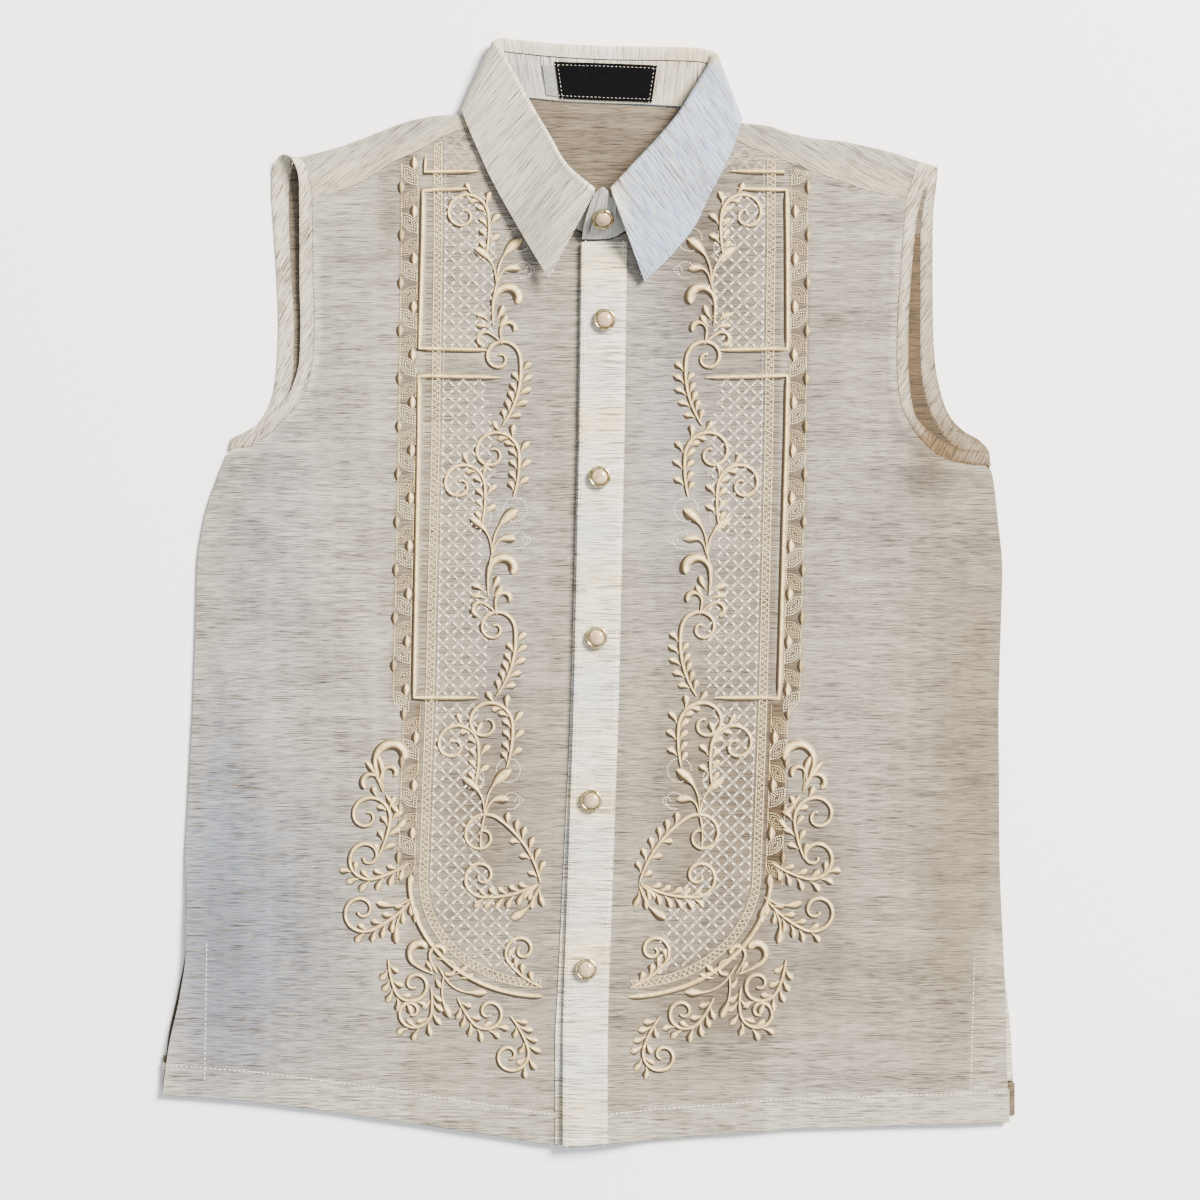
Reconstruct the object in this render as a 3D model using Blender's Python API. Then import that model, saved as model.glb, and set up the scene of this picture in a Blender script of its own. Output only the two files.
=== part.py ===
"""A sleeveless barong tagalog shirt, buttoned and laid flat on its back.

Frame: +X to the wearer's left, +Y to the collar, +Z up, the surface it lies on at z = 0.
Lengths are in millimetres and become metres when a mesh is made. Each cloth piece is a
wall of even thickness about a grid of points on its middle surface.
"""

from collections import namedtuple
from math import cos, pi, radians, sin

import bpy
import numpy as np
from mathutils import Matrix, Vector

MM = 0.001

# Cloth
CLOTH = 1.0  # wall of one layer of cloth
COLLAR_CLOTH = 1.5  # wall of the interlined layers of the collar
SEAM = 0.35  # gap at a seam between two pieces
YOKE_SEAM_EASE = 0.5  # up the body, from a front's top to the slanted yoke seam
ARMHOLE_EASE = 0.5  # from an armhole band to the panels and the yoke
LAYER = 1.4  # from the middle of one layer to the middle of the layer lying on it

# Hem, vents and plackets
HEM_DEPTH = 20.0  # how far the hem is turned up
HEM_TURN = LAYER / 2 + CLOTH / 2  # from the hem's bottom to where its panel is level
HEM_CORNER = -310.0  # about where the sides end at the hem
HEM_FADE = 40.0  # the lap's extra layer over the hem fades out up this much
PLACKET_WIDTH = 27.0
BACK_SHORTER = 4.0  # the back's hem stays this much above the front's
BACK_FLARE = 4.0  # the back's left vent edge stands out past the front's
FLARE_TOP = -215.0
FLARE_FADE = 60.0
VENT_INSET = 0.4  # from a panel's edge to its vent facing
VENT_HEM_GAP = 1.4  # from the hem's turn-up to a vent facing

# Heights of the fronts' middle surface
BACK_MIDDLE = CLOTH / 2
NECK_REST = 5.4
LAP_RISE = 2 * LAYER + 0.1  # the left front lies on the right one and its button strip
LAP_EASE = 5.0
LAP_FADE = 30.0  # the lap's extra height fades out over this much of the left front
EDGE_FADE = 48.0  # the fronts rise from their side edges over this much

# The back yoke lies on the collar leaf near the neck
YOKE_RISE = 1.9
YOKE_RISE_RIGHT = -106.0
YOKE_RISE_LEFT = 124.0
YOKE_RISE_LOW = 247.0
YOKE_RISE_FADE = 26.5

# Collar
ROLL_SEAM = 5.0  # the leaf is sewn to the stand this far below the roll, on the inside
NECK_EASE = 1.25  # from the stand's middle surface to a panel's neck edge

# Buttons
BUTTON_RIM_RADIUS = 6.7
BUTTON_RIM_HEIGHT = 2.6
BUTTON_PEARL_RADIUS = 4.7
BUTTON_PEARL_RISE = 2.2
BUTTON_SIDES = 16

# The body's side seams, then the seams of the armholes, from the hem up.
Edge = namedtuple("Edge", "y right left")
SIDE_SEAMS = [
    Edge(-320.0, -257.0, 254.5),
    Edge(-294.5, -256.5, 253.0),
    Edge(-264.0, -251.0, 252.5),
    Edge(-234.0, -244.0, 251.5),
    Edge(-203.5, -241.5, 250.0),
    Edge(-158.0, -243.0, 248.5),
    Edge(-113.0, -241.0, 248.5),
    Edge(-67.5, -238.5, 248.0),
    Edge(-22.0, -237.0, 249.5),
    Edge(16.0, -236.0, 250.5),
    Edge(38.5, -233.5, 248.5),
    Edge(53.5, -229.5, 246.5),
    Edge(68.5, -224.5, 244.5),
]

# Hem line of the fronts.
Hem = namedtuple("Hem", "x y")
HEM_LINE = [
    Hem(-257.0, -303.0),
    Hem(-202.5, -307.0),
    Hem(-150.5, -313.5),
    Hem(-89.5, -322.5),
    Hem(-14.5, -334.0),
    Hem(12.5, -332.0),
    Hem(77.0, -327.0),
    Hem(122.0, -323.5),
    Hem(254.5, -319.5),
]

# Free edge of the buttonhole placket, and how far the button strip under it shows.
Placket = namedtuple("Placket", "y edge under_shows")
PLACKET_EDGE = [
    Placket(-334.5, -15.0, 4.6),
    Placket(-246.0, -15.0, 4.6),
    Placket(-64.5, -8.5, 2.0),
    Placket(93.0, -5.0, 1.0),
    Placket(214.0, -3.5, 1.0),
]

# Armhole bands, from the underarm up the back, over the shoulder and down the front:
# the edge sewn to the panels and the free edge. A height of None is the front's own.
Band = namedtuple("Band", "stretch seam_x seam_y seam_z open_x open_y open_z")
RIGHT_ARMHOLE = [
    Band("back", -217.0, 87.0, 0.5, -215.0, 94.0, 0.5),
    Band("back", -203.5, 89.5, 0.5, -207.5, 97.5, 0.5),
    Band("back", -198.5, 93.0, 0.5, -204.0, 99.5, 0.5),
    Band("back", -193.0, 98.0, 0.5, -200.0, 102.5, 0.5),
    Band("back", -188.0, 104.0, 0.5, -196.5, 107.0, 0.5),
    Band("back", -183.2, 112.0, 0.5, -192.8, 113.5, 0.5),
    Band("back", -180.0, 124.0, 0.5, -189.6, 124.0, 0.5),
    Band("back", -178.0, 142.0, 0.5, -187.6, 142.0, 0.5),
    Band("back", -177.8, 165.0, 0.5, -187.0, 165.0, 0.5),
    Band("back", -179.3, 190.0, 0.5, -188.0, 190.0, 0.5),
    Band("shoulder", -180.6, 217.0, 0.5, -189.7, 218.0, 0.5),
    Band("shoulder", -181.0, 231.0, 0.5, -190.7, 232.0, 0.5),
    Band("shoulder", -181.0, 241.0, 0.5, -191.2, 241.5, 0.6),
    Band("shoulder", -180.5, 250.0, 0.6, -191.0, 249.5, 0.9),
    Band("shoulder", -179.5, 256.5, 1.0, -190.3, 256.5, 1.9),
    Band("shoulder", -178.3, 261.0, 2.2, -188.0, 262.0, 3.6),
    Band("shoulder", -175.0, 262.8, 4.2, -184.0, 264.6, 6.0),
    Band("shoulder", -171.5, 260.0, 6.3, -179.2, 262.3, 8.6),
    Band("shoulder", -168.8, 254.0, 6.9, -175.6, 256.3, 9.0),
    Band("shoulder", -167.3, 247.0, 6.3, -174.0, 248.5, 8.0),
    Band("shoulder", -166.5, 239.5, 5.5, -174.0, 239.5, 6.4),
    Band("front", -166.1, 212.0, None, -174.0, 212.0, None),
    Band("front", -166.0, 190.0, None, -174.0, 190.0, None),
    Band("front", -165.2, 165.0, None, -173.5, 165.0, None),
    Band("front", -166.3, 142.0, None, -174.2, 142.0, None),
    Band("front", -170.6, 124.0, None, -178.6, 125.0, None),
    Band("front", -177.5, 112.0, None, -185.5, 115.0, None),
    Band("front", -185.0, 104.0, None, -191.5, 108.8, None),
    Band("front", -190.7, 98.0, None, -196.5, 104.5, None),
    Band("front", -197.7, 93.0, None, -202.2, 100.5, None),
    Band("front", -203.5, 89.5, None, -207.5, 97.5, None),
    Band("front", -217.0, 87.0, None, -215.0, 94.0, None),
]
LEFT_ARMHOLE = [
    Band("back", 243.5, 77.0, 0.5, 242.5, 86.0, 0.5),
    Band("back", 236.0, 79.0, 0.5, 240.0, 89.5, 0.5),
    Band("back", 231.0, 81.5, 0.5, 237.0, 92.5, 0.5),
    Band("back", 227.5, 84.0, 0.5, 233.8, 94.6, 0.5),
    Band("back", 223.8, 87.0, 0.5, 230.0, 96.5, 0.5),
    Band("back", 221.0, 89.5, 0.5, 227.4, 98.2, 0.5),
    Band("back", 217.5, 93.0, 0.5, 225.0, 100.2, 0.5),
    Band("back", 213.3, 98.0, 0.5, 222.3, 102.8, 0.5),
    Band("back", 209.8, 104.0, 0.5, 219.4, 106.5, 0.5),
    Band("back", 206.3, 112.0, 0.5, 216.3, 112.5, 0.5),
    Band("back", 203.1, 124.0, 0.5, 212.7, 124.0, 0.5),
    Band("back", 201.2, 142.0, 0.5, 209.7, 142.0, 0.5),
    Band("back", 201.0, 165.0, 0.5, 208.7, 165.0, 0.5),
    Band("back", 201.0, 190.0, 0.5, 208.5, 190.0, 0.5),
    Band("shoulder", 201.2, 217.0, 0.5, 208.5, 217.0, 0.5),
    Band("shoulder", 202.2, 228.0, 0.5, 208.7, 228.0, 0.5),
    Band("shoulder", 203.4, 236.5, 0.5, 209.3, 236.5, 0.6),
    Band("shoulder", 204.5, 244.0, 0.6, 210.3, 244.0, 0.8),
    Band("shoulder", 204.8, 251.0, 0.9, 211.0, 250.5, 1.2),
    Band("shoulder", 203.8, 257.0, 1.7, 211.4, 255.2, 2.0),
    Band("shoulder", 201.3, 260.2, 3.1, 210.6, 257.5, 3.5),
    Band("shoulder", 198.6, 258.5, 4.8, 208.4, 256.0, 5.2),
    Band("shoulder", 196.6, 252.5, 5.7, 206.0, 250.5, 6.0),
    Band("shoulder", 194.6, 245.5, 5.8, 203.3, 244.0, 5.9),
    Band("shoulder", 192.3, 238.5, 5.5, 200.5, 237.5, 5.5),
    Band("front", 190.0, 212.0, None, 196.8, 212.0, None),
    Band("front", 188.5, 190.0, None, 195.0, 190.0, None),
    Band("front", 187.0, 165.0, None, 193.6, 165.0, None),
    Band("front", 186.6, 142.0, None, 193.4, 142.0, None),
    Band("front", 187.6, 124.0, None, 194.6, 122.4, None),
    Band("front", 190.2, 112.0, None, 197.4, 109.2, None),
    Band("front", 194.0, 104.0, None, 201.0, 103.2, None),
    Band("front", 197.7, 98.0, None, 204.5, 99.6, None),
    Band("front", 201.8, 93.0, None, 208.4, 96.2, None),
    Band("front", 205.0, 89.5, None, 211.2, 94.0, None),
    Band("front", 207.7, 87.0, None, 213.6, 92.4, None),
    Band("front", 211.5, 84.0, None, 216.8, 90.4, None),
    Band("front", 216.5, 81.5, None, 221.0, 88.6, None),
    Band("front", 224.0, 79.0, None, 227.5, 87.0, None),
    Band("front", 243.5, 77.0, None, 242.5, 86.0, None),
]

# The yoke's shoulder fold and, under it on the front, its seam, from armhole to neck.
YOKE_BACK_SEAM = 217.0
YOKE_BACK_STEPS = (0.0, 0.4, 0.62, 0.8, 1.0)  # rows up the back of the yoke
YOKE_NECK_COLUMNS = (-48.0, -38.0, -15.0, 11.0, 37.0, 58.0, 69.0)  # x, along the neck
Shoulder = namedtuple("Shoulder", "fold_x fold_y seam_x seam_y")
RIGHT_SHOULDER = [
    Shoulder(-150.0, 269.5, -148.0, 243.5),
    Shoulder(-135.0, 275.0, -133.5, 250.5),
    Shoulder(-120.0, 281.0, -117.0, 260.5),
    Shoulder(-106.0, 285.7, -103.0, 267.0),
    Shoulder(-92.0, 288.2, -90.5, 274.0),
    Shoulder(-79.0, 288.8, -77.0, 279.8),
    Shoulder(-66.0, 289.8, -66.0, 282.4),
    Shoulder(-54.0, 292.2, -55.6, 284.0),
]
LEFT_SHOULDER = [
    Shoulder(182.5, 266.5, 178.0, 241.0),
    Shoulder(167.5, 270.0, 163.0, 245.0),
    Shoulder(152.5, 273.0, 148.0, 250.5),
    Shoulder(137.5, 274.5, 133.0, 255.7),
    Shoulder(122.0, 278.0, 119.5, 261.0),
    Shoulder(108.0, 282.3, 107.0, 265.7),
    Shoulder(96.0, 283.5, 95.5, 270.5),
    Shoulder(84.5, 284.8, 84.5, 275.0),
    Shoulder(74.8, 286.6, 75.8, 278.2),
]

# Collar, from the wearer's right front point round the back to the left one: the neck
# seam, the roll and the leaf's edge. turn is the way that the stand's outer face looks:
# 0 up, on the fronts, 90 sideways, at the shoulders, and 180 down, on the back.
Collar = namedtuple(
    "Collar", "neck_x neck_y neck_z roll_x roll_y roll_z edge_x edge_y edge_z turn radius"
)
COLLAR = [
    Collar(0.0, 216.5, 5.6, 4.0, 241.0, 25.0, -23.5, 189.5, 14.5, 0, 2.2),
    Collar(-19.0, 228.0, 5.6, -12.5, 255.5, 24.0, -35.5, 209.5, 12.0, 0, 2.2),
    Collar(-32.5, 244.0, 5.6, -23.5, 274.5, 20.0, -47.0, 229.5, 10.5, 0, 2.2),
    Collar(-45.0, 260.5, 5.6, -34.0, 293.0, 16.0, -58.0, 249.5, 9.5, 0, 2.2),
    Collar(-53.0, 278.5, 5.6, -44.5, 312.5, 13.0, -67.5, 270.5, 8.9, 0, 2.2),
    Collar(-53.5, 287.5, 5.8, -50.0, 322.5, 12.0, -72.5, 282.0, 8.6, 15, 2.3),
    Collar(-52.6, 292.8, 5.4, -54.0, 330.5, 10.5, -75.3, 289.8, 7.8, 45, 2.5),
    Collar(-51.6, 295.5, 4.2, -55.3, 333.0, 7.6, -76.2, 292.2, 4.6, 90, 2.8),
    Collar(-50.2, 297.0, 3.1, -54.0, 334.0, 5.2, -75.0, 290.8, 1.5, 135, 3.0),
    Collar(-47.0, 298.5, 2.7, -51.0, 334.5, 4.2, -71.5, 287.8, 0.8, 165, 3.1),
    Collar(-38.0, 299.7, 2.6, -42.5, 333.7, 4.0, -60.0, 286.2, 0.75, 180, 3.2),
    Collar(-15.5, 297.7, 2.6, -20.0, 331.5, 3.95, -26.0, 285.8, 0.75, 180, 3.2),
    Collar(11.0, 296.5, 2.6, 11.0, 330.0, 3.95, 11.0, 285.5, 0.75, 180, 3.2),
    Collar(37.5, 295.5, 2.6, 42.5, 329.5, 3.95, 48.5, 284.0, 0.75, 180, 3.2),
    Collar(60.0, 293.8, 2.6, 63.0, 329.0, 4.0, 77.0, 281.8, 0.75, 180, 3.2),
    Collar(68.0, 291.8, 2.7, 71.0, 328.0, 4.2, 88.5, 282.0, 0.8, 165, 3.1),
    Collar(71.0, 290.2, 3.1, 74.5, 327.0, 5.2, 91.7, 284.5, 1.5, 135, 3.0),
    Collar(72.3, 288.5, 4.2, 76.0, 325.0, 7.6, 92.9, 286.4, 4.6, 90, 2.8),
    Collar(73.3, 285.5, 5.4, 75.0, 322.0, 10.5, 92.0, 284.0, 7.8, 45, 2.5),
    Collar(74.0, 280.5, 5.8, 71.0, 314.5, 12.0, 89.8, 275.5, 8.6, 15, 2.3),
    Collar(72.5, 272.0, 5.8, 66.0, 306.5, 13.0, 84.5, 261.5, 8.9, 0, 2.2),
    Collar(63.0, 254.5, 6.0, 55.0, 288.5, 16.0, 74.0, 241.5, 9.5, 0, 2.2),
    Collar(50.0, 239.5, 6.6, 42.0, 272.0, 20.5, 64.0, 221.0, 10.0, 0, 2.2),
    Collar(35.5, 226.5, 7.6, 28.0, 256.5, 25.0, 50.0, 203.5, 11.0, 0, 2.2),
    Collar(19.0, 216.5, 8.6, 14.0, 241.0, 28.0, 34.0, 187.5, 12.0, 0, 2.2),
]
COLLAR_SPANS = 2  # sections worked out between two rows of the table
SHOULDER_SECTIONS = 9  # whole sections at each end that aren't the back of the collar
ROLL_STEPS = 4  # sides of the roll
LEAF_EASE = 1.1  # gap at the leaf's seam on the stand

# Ends of the stand past the leaf, lapped at the throat: bottom and top of each section.
Lap = namedtuple("Lap", "neck_x neck_y neck_z top_x top_y top_z")
UNDER_LAP = [
    Lap(18.0, 215.0, 5.6, 16.5, 231.0, 18.3),
    Lap(13.0, 214.7, 5.6, 12.3, 236.0, 21.8),
    Lap(7.0, 215.0, 5.6, 7.5, 239.6, 24.5),
]
OVER_LAP = [
    Lap(17.2, 215.5, 8.6, 13.3, 236.2, 22.0),
    Lap(13.0, 214.0, 8.7, 10.6, 240.8, 28.4),
    Lap(7.0, 213.6, 8.7, 7.0, 240.5, 28.4),
    Lap(1.5, 213.6, 8.7, 2.8, 235.5, 25.0),
    Lap(-1.8, 213.6, 8.7, 0.3, 229.5, 20.6),
    Lap(-3.5, 213.6, 8.7, -2.4, 221.0, 14.2),
]

# Vent facings: inner edge and slanted top, on the fronts and inside the back.
Vent = namedtuple("Vent", "inner_top_x inner_top_y inner_hem_x outer_top_y")
RIGHT_VENT = Vent(-230.0, -212.0, -231.5, -202.0)
LEFT_VENT = Vent(233.0, -220.5, 230.5, -206.0)

# Soft folds of the fronts: a ridge (or, below zero, a trough) along a line.
Fold = namedtuple("Fold", "x1 y1 x2 y2 half_width height")
FOLD_END_SHARE = 0.3  # share of a fold's length over which it dies away at each end
FOLDS = [
    Fold(-215.0, 60.0, -120.0, -60.0, 42.0, 2.6),
    Fold(-205.0, 10.0, -150.0, -120.0, 35.0, -1.6),
    Fold(-150.0, 240.0, -128.0, 60.0, 32.0, 1.8),
    Fold(-110.0, -80.0, -165.0, -260.0, 42.0, 2.4),
    Fold(-60.0, 120.0, -45.0, -220.0, 32.0, 1.4),
    Fold(212.0, 52.0, 120.0, -20.0, 38.0, 3.0),
    Fold(228.0, 40.0, 190.0, -90.0, 32.0, -1.6),
    Fold(165.0, 230.0, 150.0, 70.0, 32.0, 1.8),
    Fold(110.0, -70.0, 175.0, -240.0, 45.0, 2.4),
    Fold(60.0, 110.0, 52.0, -200.0, 32.0, 1.2),
]

# Label and size tab on the inside of the stand: middle, width along it, bottom and top.
Tag = namedtuple("Tag", "left_x right_x bottom top")
LABEL = Tag(-17.0, 38.5, 1.2, 23.4)
SIZE_TAB = Tag(-24.5, -17.6, 2.6, 20.5)

# Middle of each button and how far it stands off the cloth on its thread.
Button = namedtuple("Button", "x y shank")
COLLAR_BUTTON = Button(9.0, 225.5, 0.9)
PLACKET_BUTTONS = [
    Button(10.0, 164.5, 0.4),
    Button(7.0, 70.0, 0.4),
    Button(5.2, -26.5, 0.4),
    Button(2.0, -124.5, 0.4),
    Button(-1.0, -226.0, 0.4),
]

# Columns and rows of the grids.
BODY_ROWS = 13
BODY_COLUMNS = 10
BACK_COLUMNS = 14
VENT_ROWS = 5
UPPER_ROWS = [
    74.0, 77.0, 79.0, 81.5, 84.0, 87.0, 89.5, 93.0, 98.0, 104.0, 112.0, 124.0, 142.0, 165.0,
    190.0, 211.5,
]
NECK_ROWS = [213.0, 215.0, 219.0, 226.0, 233.0]
FOLD_STEPS = 4
TURN_UP_FRACTIONS = [1.0, 0.5, 0.0]

# Colours, roughness and metal of each finish.
Finish = namedtuple("Finish", "colour roughness metallic")
FINISHES = {
    "body_cloth": Finish("#CFC8BE", 0.75, 0.0),
    "doubled_cloth": Finish("#E3DFCF", 0.70, 0.0),
    "collar_cloth": Finish("#DAD8D0", 0.65, 0.0),
    "label_weave": Finish("#141414", 0.80, 0.0),
    "tab_weave": Finish("#B9BCC0", 0.80, 0.0),
    "gilt_metal": Finish("#C9B37A", 0.25, 1.0),
    "pearl": Finish("#F1E9D8", 0.20, 0.0),
}


def smooth(t):
    """0 to 1 with level ends."""
    t = min(max(t, 0.0), 1.0)
    return t * t * (3 - 2 * t)


def column(rows, name):
    """One named column of a table."""
    return np.array([getattr(row, name) for row in rows], float)


def unit(vectors):
    """Each vector at length one."""
    return vectors / np.linalg.norm(vectors, axis=-1, keepdims=True)


def spline(points, spans):
    """Points on a smooth curve through these, with some worked out between each two."""
    points = np.asarray(points, float)
    padded = np.vstack([2 * points[0] - points[1], points, 2 * points[-1] - points[-2]])
    out = []
    for i in range(len(points) - 1):
        a, b, c, d = padded[i : i + 4]
        for k in range(spans):
            t = k / spans
            out.append(
                b + 0.5 * t * (c - a + t * (2 * a - 5 * b + 4 * c - d + t * (3 * (b - c) + d - a)))
            )
    out.append(points[-1])
    return np.array(out)


def moved_aside(points, distance):
    """A plan curve moved to the left of its own direction."""
    points = np.asarray(points, float)
    along = unit(np.gradient(points, axis=0))
    return points + distance * np.stack([-along[:, 1], along[:, 0]], axis=1)


# ---------------------------------------------------------------- outlines


def armhole_seam(table, stretch, inward):
    """The seam line of one stretch of an armhole, moved into its panel by the seam's gap."""
    rows = [row for row in table if row.stretch == stretch]
    return moved_aside([(row.seam_x, row.seam_y) for row in rows], inward)


def side_edge(side, back):
    """(x, y) up one side of the back or a front: side seam, then armhole seam."""
    table = LEFT_ARMHOLE if side == "left" else RIGHT_ARMHOLE
    outline = [(getattr(row, side), row.y) for row in SIDE_SEAMS]
    if back and side == "left":
        outline = [
            (x + BACK_FLARE * smooth((FLARE_TOP - y) / FLARE_FADE), y) for x, y in outline
        ]
    into_panel = ARMHOLE_EASE if side == "left" else -ARMHOLE_EASE
    if back:
        seam = armhole_seam(table, "back", into_panel)
    else:
        seam = armhole_seam(table, "front", -into_panel)[::-1]
    top = armhole_seam(table, "shoulder", into_panel if back else -into_panel)
    end = top[:1] if back else top[-1:]
    return np.vstack([outline, seam, end])


EDGES = {
    (side, back): side_edge(side, back) for side in ("right", "left") for back in (True, False)
}


def edge_x(side, back, y):
    """Where the side of the back or of a front is at this height."""
    curve = EDGES[side, back]
    return float(np.interp(y, curve[:, 1], curve[:, 0]))


def hem_y(x, back=False):
    """Bottom of the hem."""
    line = float(np.interp(x, column(HEM_LINE, "x"), column(HEM_LINE, "y")))
    return line + (BACK_SHORTER if back else 0.0)


def placket_x(y):
    """Free edge of the buttonhole placket."""
    return float(np.interp(y, column(PLACKET_EDGE, "y"), column(PLACKET_EDGE, "edge")))


def under_placket_x(y):
    """The edge of the button strip that shows beside the placket."""
    shows = np.interp(y, column(PLACKET_EDGE, "y"), column(PLACKET_EDGE, "under_shows"))
    return placket_x(y) - float(shows)


def neck_edge(side):
    """(x, y) up a front's neck edge, beside the stand's own seam line."""
    if side == "right":
        rows = [row for row in COLLAR if row.neck_x < 5 and row.neck_y < 289]
        lap = [(25.0, 215.0), (12.0, 215.0)]
        ease = NECK_EASE
    else:
        rows = [row for row in COLLAR if row.neck_x > 18 and row.neck_y < 287][::-1]
        lap = [(-5.0, 213.6), (10.0, 213.6)]
        ease = -NECK_EASE
    line = lap + [(row.neck_x, row.neck_y) for row in rows]
    return moved_aside(spline(line, 3), ease)


NECK_EDGES = {side: neck_edge(side) for side in ("right", "left")}


def neck_x(side, y):
    """Where a front's neck edge is at this height."""
    curve = NECK_EDGES[side]
    x = float(np.interp(y, curve[:, 1], curve[:, 0]))
    return min(x, under_placket_x(y) + PLACKET_WIDTH) if side == "right" else x


def yoke_seam_line(side):
    """(x, y) along the front yoke seam, from the armhole to the neck."""
    table, armhole = (
        (RIGHT_SHOULDER, RIGHT_ARMHOLE) if side == "right" else (LEFT_SHOULDER, LEFT_ARMHOLE)
    )
    last = [row for row in armhole if row.stretch == "shoulder"][-1]
    return np.array([(last.seam_x, last.seam_y)] + [(row.seam_x, row.seam_y) for row in table])


YOKE_SEAMS = {side: yoke_seam_line(side) for side in ("right", "left")}


# ---------------------------------------------------------------- heights

# Height of a front's middle surface at its side edge and away from it, up the body.
Rest = namedtuple("Rest", "y edge middle")
FRONT_REST = [
    Rest(-340.0, 4.8, 4.9),
    Rest(-290.0, 4.8, 5.2),
    Rest(-200.0, 4.8, 5.4),
    Rest(-150.0, 1.9, 5.4),
    Rest(90.0, 1.9, 5.6),
    Rest(130.0, 2.8, 5.6),
    Rest(190.0, 4.4, 5.6),
    Rest(240.0, 5.5, NECK_REST),
    Rest(300.0, 5.5, NECK_REST),
]


def fold_height(x, y):
    """Sum of the soft folds here."""
    total = 0.0
    for fold in FOLDS:
        dx, dy = fold.x2 - fold.x1, fold.y2 - fold.y1
        length = (dx * dx + dy * dy) ** 0.5
        along = ((x - fold.x1) * dx + (y - fold.y1) * dy) / length
        aside = ((x - fold.x1) * dy - (y - fold.y1) * dx) / length
        fade = FOLD_END_SHARE * length
        ends = smooth(along / fade) * smooth((length - along) / fade)
        total += fold.height * ends * smooth(1 - abs(aside) / fold.half_width)
    return total


def front_height(x, y):
    """Height of the fronts' middle surface, without the lap."""
    inset = min(x - edge_x("right", False, y), edge_x("left", False, y) - x)
    edge = float(np.interp(y, column(FRONT_REST, "y"), column(FRONT_REST, "edge")))
    middle = float(np.interp(y, column(FRONT_REST, "y"), column(FRONT_REST, "middle")))
    rise = edge + (middle - edge) * smooth(inset / EDGE_FADE)
    return rise + fold_height(x, y) * smooth(inset / EDGE_FADE)


def lap_height(x, y):
    """What the left front gains over the right one, where it laps over."""
    past = x - (placket_x(y) + PLACKET_WIDTH)
    over_hem = 1 - smooth((y - hem_y(x) - HEM_DEPTH - LAP_EASE) / HEM_FADE)
    return (LAP_RISE + LAYER * over_hem) * (1 - smooth(past / LAP_FADE))


def left_front_height(x, y):
    """Height of the left front's middle surface."""
    return front_height(x, y) + lap_height(x, y)


def yoke_back_height(x, y):
    """Height of the back yoke's middle surface, which rises over the collar leaf."""
    right, left = x - YOKE_RISE_RIGHT, YOKE_RISE_LEFT - x
    sideways = smooth(right / YOKE_RISE_FADE) * smooth(left / YOKE_RISE_FADE)
    return BACK_MIDDLE + YOKE_RISE * sideways * smooth((y - YOKE_RISE_LOW) / YOKE_RISE_FADE)


# ---------------------------------------------------------------- meshes


def cell_faces(present):
    """Corners of each cell of a grid whose four points are there, turned anticlockwise."""
    rows, columns = present.shape
    cells = []
    for i in range(rows - 1):
        for j in range(columns - 1):
            if present[i : i + 2, j : j + 2].all():
                cells.append([(i, j), (i, j + 1), (i + 1, j + 1), (i + 1, j)])
    return cells


def grid_normals(grid):
    """The way each grid point's surface looks, from the cells round it."""
    present = ~np.isnan(grid[..., 0])
    normals = np.zeros_like(grid)
    for cell in cell_faces(present):
        a, b, c, d = (grid[corner] for corner in cell)
        face = np.cross(c - a, d - b)
        for corner in cell:
            normals[corner] += face
    normals[~present] = (0, 0, 1)
    return unit(normals)


def moved_out(grid, distance):
    """A grid's points moved along its surface's own direction."""
    return grid + distance * grid_normals(grid)


def wall(grid, thickness):
    """(points, faces) of a closed wall about a grid. Absent points are nan."""
    present = ~np.isnan(grid[..., 0])
    index = np.full(present.shape, -1)
    index[present] = np.arange(present.sum())
    normals = grid_normals(grid)[present] * thickness / 2
    count = len(normals)
    points = np.vstack([grid[present] + normals, grid[present] - normals])
    faces = []
    borders = {}
    for cell in cell_faces(present):
        a, b, c, d = (int(index[corner]) for corner in cell)
        for triangle in ((a, b, c), (a, c, d)):
            faces.append(triangle)
            faces.append(tuple(count + k for k in triangle[::-1]))
        for edge in ((a, b), (b, c), (c, d), (d, a)):
            if edge[::-1] in borders:
                del borders[edge[::-1]]
            else:
                borders[edge] = True
    for a, b in borders:
        faces.append((b, a, count + a))
        faces.append((b, count + a, count + b))
    return points, faces


def turned(profile, sides):
    """(points, faces) of a profile of (radius, height), bottom to top, turned about Z."""
    points, faces = [], []
    for radius, height in profile:
        for k in range(sides):
            angle = 2 * pi * k / sides
            points.append((radius * cos(angle), radius * sin(angle), height))
    for ring in range(len(profile) - 1):
        for k in range(sides):
            a = ring * sides + k
            b = ring * sides + (k + 1) % sides
            faces.append((a, b, b + sides, a + sides))
    faces.append(tuple(range(sides))[::-1])
    faces.append(tuple(range(len(points) - sides, len(points))))
    return points, faces


def material(name):
    """The material of one finish, made once."""
    if name in bpy.data.materials:
        return bpy.data.materials[name]
    finish = FINISHES[name]
    made = bpy.data.materials.new(name)
    made.use_nodes = True
    shader = made.node_tree.nodes["Principled BSDF"]
    srgb = [int(finish.colour[k : k + 2], 16) / 255 for k in (1, 3, 5)]
    linear = [c / 12.92 if c <= 0.04045 else ((c + 0.055) / 1.055) ** 2.4 for c in srgb]
    shader.inputs["Base Color"].default_value = (*linear, 1.0)
    shader.inputs["Roughness"].default_value = finish.roughness
    shader.inputs["Metallic"].default_value = finish.metallic
    return made


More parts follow.
